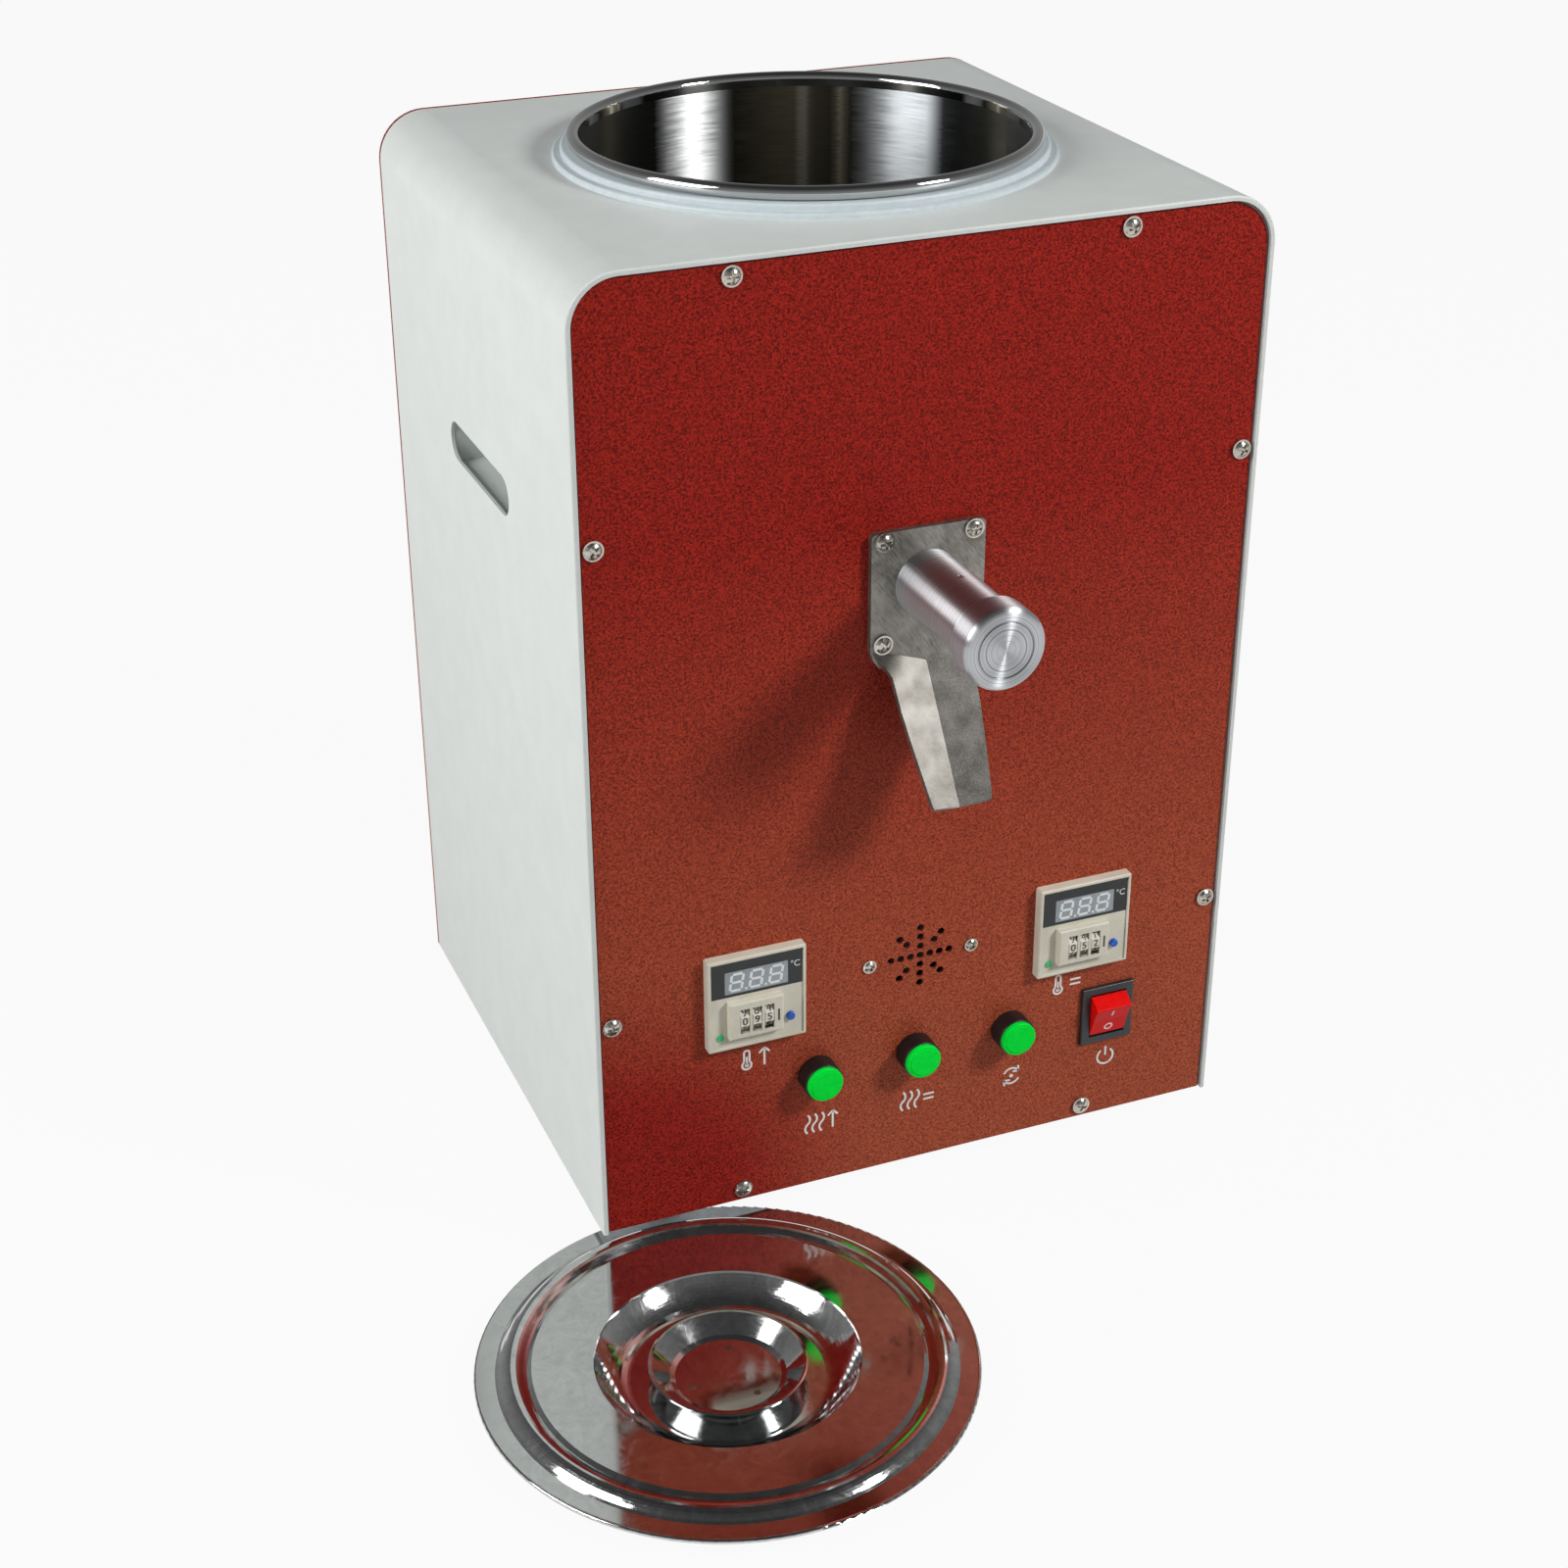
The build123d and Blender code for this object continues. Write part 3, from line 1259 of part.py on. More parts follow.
def make_buttons():
    """Three push buttons: a black collar and threaded body, and a sprung green cap in it."""
    z = case_bottom + button_z
    collar_front = front_y - collar_h
    body_back = wrap_front + button_depth
    nut_back = wrap_front + button_nut_t
    nuts = []
    for name, x in zip(button_names, button_x):
        body = cyl_y(collar_r, x, z, collar_front, front_y)
        body = fillet(circles_at(body, collar_front), collar_edge_r)
        body = body + cyl_y(button_thread_r, x, z, front_y - 1, body_back)
        block = contact_block_half
        body = body + box(x - block, x + block, body_back - contact_block_bite,
                          body_back + contact_block_out, z - block, z + block)
        bore = cap_r + cap_gap
        body = body - cyl_y(bore, x, z, collar_front - 1, collar_front + cap_skirt + cap_travel + 1)
        stem_end = collar_front + cap_skirt + cap_stem_len
        body = body - cyl_y(cap_stem_r + 0.05, x, z, collar_front, stem_end + cap_travel + 1)
        save(f"{name}_button_body", body)

        cap_front = collar_front - cap_proud
        cap = cyl_y(cap_r, x, z, cap_front, collar_front + cap_skirt)
        cap = fillet(circles_at(cap, cap_front), cap_edge_r)
        cap = cap + cyl_y(cap_disc_r, x, z, cap_front - cap_disc_h, cap_front + 1)
        cap = cap + cyl_y(cap_stem_r, x, z, collar_front + cap_skirt - 1, stem_end)
        save(f"{name}_button_cap", cap)

        outline = Pos(x, wrap_front, z) * Rot(-90, 0, 0) * RegularPolygon(button_nut_r, 6)
        nut = extrude(outline, amount=button_nut_t, dir=(0, 1, 0))
        nuts.append(nut - cyl_y(button_thread_r + screw_gap / 2, x, z, wrap_front - 1, nut_back + 1))
    save("button_nuts", nuts)


def make_rocker_switch():
    """The mains switch: a black snap-in body and a red rocker, shown pressed at the O end."""
    z = case_bottom + rocker_z
    front = front_y - rocker_bezel_t
    half_w = rocker_bezel_w / 2
    half_h = rocker_bezel_h / 2
    bezel = box(rocker_x - half_w, rocker_x + half_w, front, front_y, z - half_h, z + half_h)
    bezel = fillet([e for e in bezel.edges() if abs(e.center().Y - front) < 0.01], rocker_bezel_edge_r)
    in_w = rocker_open_w / 2
    in_h = rocker_open_h / 2
    body = box(rocker_x - in_w - sheet, rocker_x + in_w + sheet, front_y - 1, front_y + rocker_body_depth,
               z - in_h - sheet, z + in_h + sheet)
    floor = front_y + rocker_body_depth - rocker_body_floor
    hollow = box(rocker_x - in_w, rocker_x + in_w, front - 1, floor, z - in_h, z + in_h)
    pivot_y = front_y - rocker_pivot_out
    body = bezel + body - hollow
    pin_hole = rocker_pivot_r + rocker_pivot_gap
    bite = in_w + rocker_pivot_bite
    body = body - cyl_x(pin_hole, pivot_y, z, rocker_x - bite, rocker_x + bite)
    save("rocker_switch_body", body)

    side = in_w - rocker_side_gap
    valley = rocker_edge_rise - rocker_edge_reach * math.tan(math.radians(rocker_dish))
    half = [
        (rocker_edge_reach, rocker_edge_rise), (rocker_heel_reach, -rocker_heel_drop),
        (rocker_root_reach, -rocker_root_drop),
    ]
    points = [(0, valley)] + half + [(-reach, rise) for reach, rise in reversed(half)]
    outline = Polyline([(rocker_x - side, pivot_y - rise, z + reach) for reach, rise in points], close=True)
    rocker = extrude(Face(Wire(outline.edges())), amount=2 * side, dir=(1, 0, 0))
    ridge = [e for e in rocker.edges() if e.center().Y < pivot_y - valley - 0.2]
    ridge = [e for e in ridge if abs(e.center().Z - z) > rocker_edge_reach / 2]
    rocker = fillet(ridge, rocker_edge_r)
    reach = bite - rocker_pivot_gap
    rocker = rocker + cyl_x(rocker_pivot_r, pivot_y, z, rocker_x - reach, rocker_x + reach)
    swing = Pos(rocker_x, pivot_y, z) * Rot(rocker_tilt, 0, 0) * Pos(-rocker_x, -pivot_y, -z)
    save("rocker", swing * rocker)


def make_inlet():
    """The mains inlet in the rear panel, with a fuse drawer under its socket."""
    z = case_bottom + inlet_z
    back = wrap_back + panel_t
    face = Plane(origin=(inlet_x, back, z), x_dir=(-1, 0, 0), z_dir=(0, 1, 0))
    outline = RectangleRounded(inlet_flange_w, inlet_flange_h, inlet_flange_r)
    flange = extrude(face * outline, amount=inlet_flange_t)
    half_w = inlet_body_w / 2
    half_h = inlet_body_h / 2
    inside = wrap_back - inlet_body_depth
    inlet = flange + box(inlet_x - half_w, inlet_x + half_w, inside, back + 1, z - half_h, z + half_h)
    mouth = back + inlet_flange_t
    well_z = z + half_h - inlet_well_top - inlet_well_h / 2
    well_floor = mouth - inlet_well_depth
    well = box(inlet_x - inlet_well_w / 2, inlet_x + inlet_well_w / 2, well_floor, mouth + 1,
               well_z - inlet_well_h / 2, well_z + inlet_well_h / 2)
    inlet = inlet - well
    for dx, dz in inlet_pin_places:
        x = inlet_x + dx
        pin_z = well_z + dz
        half = inlet_pin_w / 2
        inlet = inlet + box(x - half, x + half, well_floor - 1, well_floor + inlet_pin_len,
                            pin_z - inlet_pin_t / 2, pin_z + inlet_pin_t / 2)
    drawer_z = z - half_h + drawer_rise + drawer_h / 2
    hole_w = drawer_w / 2 + drawer_gap
    hole_h = drawer_h / 2 + drawer_gap
    inlet = inlet - box(inlet_x - hole_w, inlet_x + hole_w, mouth - drawer_depth - 1, mouth + 1,
                        drawer_z - hole_h, drawer_z + hole_h)
    for side in (-1, 1):
        inlet = inlet - cyl_y(m4_r + screw_gap, inlet_x + side * inlet_screw_dx, z, back - 1, mouth + 1)
    save("mains_inlet", inlet)

    half_w = drawer_w / 2
    low = drawer_z - drawer_h / 2
    high = drawer_z + drawer_h / 2
    drawer = box(inlet_x - half_w, inlet_x + half_w, mouth - drawer_depth, mouth, low, high)
    wall = drawer_wall
    hollow = box(inlet_x - half_w + wall, inlet_x + half_w - wall,
                 mouth - drawer_depth + wall, mouth - drawer_front_t, low + wall, high + 1)
    grip_z = low + drawer_grip_h / 2
    grip = box(inlet_x - drawer_grip_half, inlet_x + drawer_grip_half,
               mouth - 0.5, mouth + drawer_grip_proud, grip_z, grip_z + drawer_grip_h)
    save("fuse_drawer", drawer - hollow + grip)


def make_relays():
    """Two heater relays on the base, each a block with four terminals in pockets."""
    length, width, height = relay_size
    pocket_x, pocket_y, pocket_z = relay_pocket
    low = case_bottom + sheet
    top = low + height
    relays = []
    for x, y in relay_places:
        relay = box(x - length / 2, x + length / 2, y - width / 2, y + width / 2, low, top)
        for sx in (-1, 1):
            for sy in (-1, 1):
                cx = x + sx * (length / 2 - relay_pocket_inset[0])
                cy = y + sy * (width / 2 - relay_pocket_inset[1])
                relay = relay - box(cx - pocket_x / 2, cx + pocket_x / 2,
                                    cy - pocket_y / 2, cy + pocket_y / 2, top - pocket_z, top + 1)
                foot = top - pocket_z
                relay = relay + cyl_z(relay_terminal_r, cx, cy, foot - 1, foot + relay_terminal_h)
        relays.append(relay)
    save("heater_relays", relays)


def lid_top_line():
    """The lid's upper outline as (radius, height) points, from its middle outwards."""
    floor = lid_sheet
    ledge = lid_disc_h - lid_step_h
    points = [(0.0, floor), (lid_well_r, floor)]
    for step in range(1, lid_curve_steps):
        part = step / lid_curve_steps
        rise = (ledge - floor) * part ** lid_well_bend
        points.append((lid_well_r + (lid_step_r - 0.4 - lid_well_r) * part, floor + rise))
    points += [(lid_step_r - 0.4, ledge), (lid_step_r, lid_disc_h), (lid_disc_r, lid_disc_h)]
    points.append((lid_bead_in_r, lid_groove_h))
    for step in range(1, lid_curve_steps):
        part = step / lid_curve_steps
        base = lid_groove_h + (lid_rim_h - lid_groove_h) * part
        hump = (lid_bead_h - lid_groove_h) * math.sin(math.pi * part) ** 1.2
        points.append((lid_bead_in_r + (lid_bead_out_r - lid_bead_in_r) * part, base + hump))
    points += [(lid_bead_out_r, lid_rim_h), (lid_r - lid_edge_r, lid_rim_h)]
    return points


def make_lid():
    """The pressed lid with its sunk well, and the flared cup that is its knob."""
    top = lid_top_line()
    under = [(r, max(z - lid_sheet, 0.0)) for r, z in reversed(top)]
    cover = turned(top + under, lid_x, lid_y)
    edge_z = lid_rim_h - lid_edge_r + 0.1
    edge = Pos(lid_x, lid_y, edge_z) * Torus(lid_r - lid_edge_r, lid_edge_r)
    save("lid_cover", cover + edge)

    low = lid_sheet + knob_cup_gap
    high = low + knob_cup_h
    wall = lid_sheet
    cup = turned([
        (0, low), (knob_cup_floor_r, low), (knob_cup_floor_r + 2.6, low + 1.2),
        (knob_cup_rim_r - 1.2, high - 1.4), (knob_cup_rim_r, high - 0.9), (knob_cup_rim_r, high - 0.2),
        (knob_cup_rim_r - 0.6, high), (knob_cup_rim_r - 1.6, high - 0.2),
        (knob_cup_floor_r + 1.6, low + wall + 1.1), (knob_cup_floor_r - 0.6, low + wall), (0, low + wall),
    ], lid_x, lid_y)
    save("lid_knob", cup)


def main():
    os.makedirs("parts", exist_ok=True)
    make_casing_wrap()
    make_front_panel()
    make_rear_panel()
    make_base_plate()
    make_feet()
    make_base_fasteners()
    make_hand_pockets()
    make_panel_screws()
    make_pot()
    make_seat_ring()
    make_heater()
    make_jacket()
    make_nozzle()
    make_gasket()
    make_tap_body()
    make_tap_barrel()
    make_tap_screws()
    make_tap_pins()
    make_plunger()
    make_knob()
    make_deck()
    make_motor()
    make_stirrer()
    make_gland()
    make_sensors()
    for name, x, z in controller_places():
        make_controller(name, x, z)
    make_controller_clamps()
    make_speaker()
    make_buttons()
    make_rocker_switch()
    make_inlet()
    make_relays()
    make_lid()


main()
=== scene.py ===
"""Finishes, printed signs and stage of an agar duplicating machine with a heated pot and a screw tap."""
import math

import bpy
from bpy.props import FloatProperty, FloatVectorProperty, PointerProperty, StringProperty
from mathutils import Matrix, Vector


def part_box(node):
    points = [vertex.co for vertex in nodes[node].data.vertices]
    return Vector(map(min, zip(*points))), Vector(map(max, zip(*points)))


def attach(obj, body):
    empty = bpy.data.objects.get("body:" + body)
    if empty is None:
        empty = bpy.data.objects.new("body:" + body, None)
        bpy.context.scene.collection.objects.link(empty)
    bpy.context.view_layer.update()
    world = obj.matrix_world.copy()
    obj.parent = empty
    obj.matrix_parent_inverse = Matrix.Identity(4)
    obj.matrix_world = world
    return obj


bl_info = {
    "name": "Agar duplicating machine",
    "version": (1, 0, 0),
    "blender": (4, 5, 0),
    "location": "3D View > Sidebar > Agar machine",
    "description": "Finishes, printed signs and stage",
    "category": "Object",
}

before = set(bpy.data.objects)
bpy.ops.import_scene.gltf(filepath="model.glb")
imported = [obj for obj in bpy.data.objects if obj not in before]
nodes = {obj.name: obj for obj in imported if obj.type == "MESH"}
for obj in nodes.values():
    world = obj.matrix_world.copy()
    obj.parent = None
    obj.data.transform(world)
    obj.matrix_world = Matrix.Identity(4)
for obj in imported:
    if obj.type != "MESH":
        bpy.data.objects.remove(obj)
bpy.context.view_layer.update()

MM = 0.001
PANEL_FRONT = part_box("front_panel")[0].y
# The clouds over a grained surface: how many grains wide they are, and their share of its colour.
CLOUD_GRAINS = 15
CLOUD_SHARE = 0.45
# The part of its range that a noise texture fills.
NOISE_SPAN = {"From Min": 0.3, "From Max": 0.7}


def middle(name):
    """The middle of a CAD node's box."""
    low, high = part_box(name)
    return (low + high) / 2


# Colours and nodes

def linear(code):
    """An sRGB hex colour, such as "#8B1A17", as linear red, green, blue and alpha."""
    channels = [int(code[i:i + 2], 16) / 255 for i in (1, 3, 5)]
    bent = [c / 12.92 if c <= 0.04045 else ((c + 0.055) / 1.055) ** 2.4 for c in channels]
    return (*bent, 1.0)


def add(tree, kind, inputs=None, stops=None, **settings):
    """Adds a shader node with its settings, its sockets' values or links, and a ramp's colours."""
    node = tree.nodes.new(f"ShaderNode{kind}")
    for name, value in settings.items():
        setattr(node, name, value)
    connect(tree, node, inputs or {})
    if stops:
        ramp = node.color_ramp
        while len(ramp.elements) < len(stops):
            ramp.elements.new(0.5)
        for element, (place, colour) in zip(ramp.elements, stops):
            element.position = place
            element.color = linear(colour) if isinstance(colour, str) else colour
    return node


def connect(tree, node, inputs):
    """Sets a node's sockets to values, or links them. A node stands for its first output in use."""
    for name, value in inputs.items():
        if isinstance(value, bpy.types.Node):
            value = next(output for output in value.outputs if output.enabled)
        if isinstance(value, bpy.types.NodeSocket):
            tree.links.new(value, node.inputs[name])
        else:
            node.inputs[name].default_value = value


def new_material(name):
    """An empty material: returns it with its tree, its surface shader and the piece's own coordinates."""
    material = bpy.data.materials.new(name)
    material.use_nodes = True
    tree = material.node_tree
    tree.nodes.clear()
    shader = add(tree, "BsdfPrincipled")
    add(tree, "OutputMaterial", {"Surface": shader})
    coords = add(tree, "TexCoord").outputs["Object"]
    return material, tree, shader, coords


def per_metre(millimetres):
    """The texture scale at which one cell of a pattern is this many millimetres wide."""
    return 1.0 / (millimetres * MM)


def grained(name, light, dark, grain_mm, roughness, depth_mm,
            stretch=(1.0, 1.0, 1.0), turn=(0.0, 0.0, 0.0), **constants):
    """A surface with one grain that varies its colour, its roughness and its height together.

    The roughness is a pair, in the grain's hollows and on its crests. The stretch is the
    pattern's scale along each axis, so a small number draws the grain out along that axis,
    and the turn leans it. Constants are the shader's sockets, an underscore for each space.
    """
    material, tree, shader, coords = new_material(name)
    moved = add(tree, "Mapping", {"Vector": coords, "Rotation": turn})
    moved = add(tree, "Mapping", {"Vector": moved, "Scale": stretch})
    grain = add(tree, "TexNoise", {"Vector": moved, "Scale": per_metre(grain_mm), "Detail": 3.0,
                                   "Roughness": 0.6})
    clouds = add(tree, "TexNoise", {"Vector": coords, "Scale": per_metre(CLOUD_GRAINS * grain_mm),
                                    "Detail": 3.0})
    shade = add(tree, "Mix", {"Factor": CLOUD_SHARE, "A": grain, "B": clouds})
    colour = add(tree, "ValToRGB", {"Fac": shade}, stops=((0.35, dark), (0.65, light)))
    rough = add(tree, "MapRange", {"Value": grain, **NOISE_SPAN, "To Min": roughness[0],
                                   "To Max": roughness[1]})
    height = add(tree, "Bump", {"Height": grain, "Distance": depth_mm * MM, "Strength": 0.5})
    connect(tree, shader, {"Base Color": colour, "Roughness": rough, "Normal": height})
    connect(tree, shader, {key.replace("_", " "): value for key, value in constants.items()})
    return material


# Sizes and colours that a user would change

def colour_setting(name, description, code):
    """A colour property with an sRGB hex colour as its default."""
    return FloatVectorProperty(name=name, description=description, default=linear(code), size=4,
                               subtype="COLOR", min=0.0, max=1.0)


class StageSizes(bpy.types.PropertyGroup):
    camera_place: FloatVectorProperty(name="Camera place", description="Where the camera stands",
                                      default=(-0.43987, -1.0573, 0.75021), subtype="TRANSLATION",
                                      precision=4)
    camera_yaw: FloatProperty(name="Camera yaw", description="Turn to the right from straight ahead",
                              default=math.radians(22.12), subtype="ANGLE")
    camera_pitch: FloatProperty(name="Camera pitch", description="Tilt down from level",
                                default=math.radians(27.8), subtype="ANGLE")
    camera_roll: FloatProperty(name="Camera roll", description="Turn about the line of sight",
                               default=math.radians(-0.23), subtype="ANGLE")
    camera_lens: FloatProperty(name="Camera lens", description="Focal length on a 36 mm sensor",
                               default=60.59, min=10.0, max=300.0, subtype="DISTANCE_CAMERA")
    floor_size: FloatProperty(name="Floor size", description="Side of the floor", default=9.0, min=2.0,
                              max=20.0, unit="LENGTH")
    floor_colour: colour_setting("Floor colour", "Bench top", "#9C9C9A")
    floor_veil: FloatProperty(name="Floor veil", description="Share of its shade that the camera loses",
                              default=0.94, min=0.0, max=1.0, subtype="FACTOR")
    key_place: FloatVectorProperty(name="Key light place", description="Where the key light stands",
                                   default=(1.15, -1.25, 1.35), subtype="TRANSLATION")
    key_power: FloatProperty(name="Key light", description="Power of the soft light from the upper right",
                             default=26.5, min=0.0, unit="POWER")
    fill_place: FloatVectorProperty(name="Fill light place", description="Where the fill light stands",
                                    default=(-1.55, -0.15, 1.05), subtype="TRANSLATION")
    fill_power: FloatProperty(name="Fill light", description="Power of the wide light from the left",
                              default=23.5, min=0.0, unit="POWER")
    sky_low: FloatProperty(name="Room light", description="Strength of the room light near the horizon",
                           default=0.29, min=0.0)
    sky_high: FloatProperty(name="Ceiling light", description="Strength of the room light overhead",
                            default=0.04, min=0.0)


class FinishColours(bpy.types.PropertyGroup):
    casing: colour_setting("Casing", "Powder coat of the casing", "#DCE0DD")
    casing_shade: colour_setting("Casing shade", "Thinner powder coat", "#D3D8D5")
    panel: colour_setting("Panel", "Bright flakes of the panels' enamel", "#B3281B")
    panel_deep: colour_setting("Panel shade", "Enamel between the flakes", "#5C0B06")
    button: colour_setting("Button", "Green caps", "#00F844")
    rocker: colour_setting("Rocker", "Red rocker", "#F00B08")
    ink: colour_setting("Ink", "Printed signs", "#F4F4F2")


class SignSizes(bpy.types.PropertyGroup):
    height: FloatProperty(name="Sign height", description="Height of a printed sign", default=10.0 * MM,
                          min=3.0 * MM, max=20.0 * MM, unit="LENGTH")
    line: FloatProperty(name="Line width", description="Width of a printed line", default=1.0 * MM,
                        min=0.2 * MM, max=3.0 * MM, unit="LENGTH")
    ink: FloatProperty(name="Ink thickness", description="Thickness of the printed ink", default=0.05 * MM,
                       min=0.01 * MM, max=0.3 * MM, unit="LENGTH")
    heating_digits: StringProperty(name="Heating setting", default="095",
                                   description="Three digits that the heating wheels show")
    holding_digits: StringProperty(name="Holding setting", default="052",
                                   description="Three digits that the holding wheels show")


# Modelling

def rest():
    """Leaves edit mode and deselects everything."""
    if bpy.context.object and bpy.context.object.mode != "OBJECT":
        bpy.ops.object.mode_set(mode="OBJECT")
    bpy.ops.object.select_all(action="DESELECT")


def pick(*objects):
    """Selects only these objects, the first one active."""
    rest()
    for item in objects:
        item.select_set(True)
    bpy.context.view_layer.objects.active = objects[0]


def edit(item, test=None):
    """Enters edit mode with the vertices that pass a test selected, or all of them."""
    pick(item)
    for vertex in item.data.vertices:
        vertex.select = test is None or test(vertex.co)
    for edge in item.data.edges:
        edge.select = all(item.data.vertices[i].select for i in edge.vertices)
    for face in item.data.polygons:
        face.select = all(item.data.vertices[i].select for i in face.vertices)
    bpy.ops.object.mode_set(mode="EDIT")


def settle(item):
    """Moves a piece's place, turn and size into its mesh, which leaves its object at the origin."""
    pick(item)
    bpy.ops.object.transform_apply(location=True, rotation=True, scale=True)
    rest()


def copied(item, name=None):
    """A copy of a piece with its own mesh."""
    pick(item)
    bpy.ops.object.duplicate(linked=False)
    copy = bpy.context.object
    if name:
        copy.name = copy.data.name = name
    rest()
    return copy


def rectangle(width, height, across=0.0):
    """A flat rectangle with its middle on the x axis."""
    rest()
    bpy.ops.mesh.primitive_plane_add(size=1.0)
    item = bpy.context.object
    item.scale = (width, height, 1.0)
    item.location = (across, 0.0, 0.0)
    settle(item)
    return item


def bar(width, height, corner=0.3):
    """A flat bar with rounded corners. The corner is a share of the bar's shorter side."""
    item = rectangle(width, height)
    edit(item)
    bpy.ops.mesh.bevel(offset=min(width, height) * corner, segments=2, affect="VERTICES")
    rest()
    return item


def arc(radius, width, start, end, steps=24):
    """A flat curved bar: an edge spun anticlockwise round the origin, between two angles in degrees."""
    item = rectangle(width, width, radius)
    edit(item, lambda point: point.y > 0)
    bpy.ops.mesh.delete(type="VERT")
    bpy.ops.mesh.select_all(action="SELECT")
    bpy.ops.transform.translate(value=(0.0, width / 2, 0.0))
    bpy.ops.transform.rotate(value=-math.radians(start), orient_axis="Z", center_override=(0.0, 0.0, 0.0))
    bpy.ops.mesh.spin(steps=steps, angle=-math.radians(end - start), center=(0.0, 0.0, 0.0),
                      axis=(0.0, 0.0, 1.0))
    bpy.ops.mesh.select_all(action="SELECT")
    bpy.ops.mesh.remove_doubles(threshold=1e-6)
    rest()
    return item


def letters(words, size):
    """Plain characters as a flat mesh, centred on the origin."""
    rest()
    bpy.ops.object.text_add()
    item = bpy.context.object
    item.data.body = words
    item.data.size = size
    item.data.align_x = "CENTER"
    item.data.align_y = "CENTER"
    pick(item)
    bpy.ops.object.convert(target="MESH")
    return bpy.context.object


def laid(item, *places):
    """Lays a flat part at the first place and copies of it at the others, and returns them all.

    A place is how far across, how far up, and a turn in radians.
    """
    parts = [item, *(copied(item) for _ in places[1:])]
    for part, (across, up, turn) in zip(parts, places):
        part.location = (across, up, 0.0)
        part.rotation_euler = (0.0, 0.0, turn)
        settle(part)
    return parts


def merged(parts):
    """Joins parts into the first one."""
    pick(*parts)
    if len(parts) > 1:
        bpy.ops.object.join()
    return bpy.context.object


def thickened(name, parts, thickness):
    """Joins flat parts into one named piece and gives it a thickness, its back at z = 0."""
    item = merged(parts)
    item.name = item.data.name = name
    edit(item)
    bpy.ops.mesh.remove_doubles(threshold=1e-6)
    bpy.ops.mesh.normals_make_consistent(inside=False)
    bpy.ops.mesh.extrude_region_move(TRANSFORM_OT_translate={"value": (0.0, 0.0, thickness)})
    bpy.ops.mesh.select_all(action="SELECT")
    bpy.ops.mesh.normals_make_consistent(inside=False)
    rest()
    return item


def stand(item, place, lean=0.0):
    """Stands a flat piece up to face the front, leans it back, and puts it at its place for good."""
    item.matrix_world = Matrix.Translation(place) @ Matrix.Rotation(math.pi / 2 + lean, 4, "X")
    settle(item)


def hand_over(item, material, body):
    """Gives a finished piece its material and its body."""
    item.data.materials.clear()
    item.data.materials.append(material)
    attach(item, body)


def area_light(name, place, power, target, size):
    """A soft square lamp at a place, aimed at a target."""
    bpy.ops.object.light_add(type="AREA", location=place)
    lamp = bpy.context.object
    lamp.name = name
    lamp.data.size = size
    lamp.data.energy = power
    lamp.rotation_euler = (Vector(target) - Vector(place)).to_track_quat("-Z", "Y").to_euler()


def finish_nodes(material, *endings):
    """Puts one material on the CAD nodes whose names end so."""
    for ending in endings:
        found = [node.material_slots for name, node in nodes.items() if name.endswith(ending)]
        if not found or not all(found):
            raise RuntimeError(f"{ending} finds no CAD node, or one without a material slot")
        for slots in found:
            for slot in slots:
                slot.material = material


# The stage

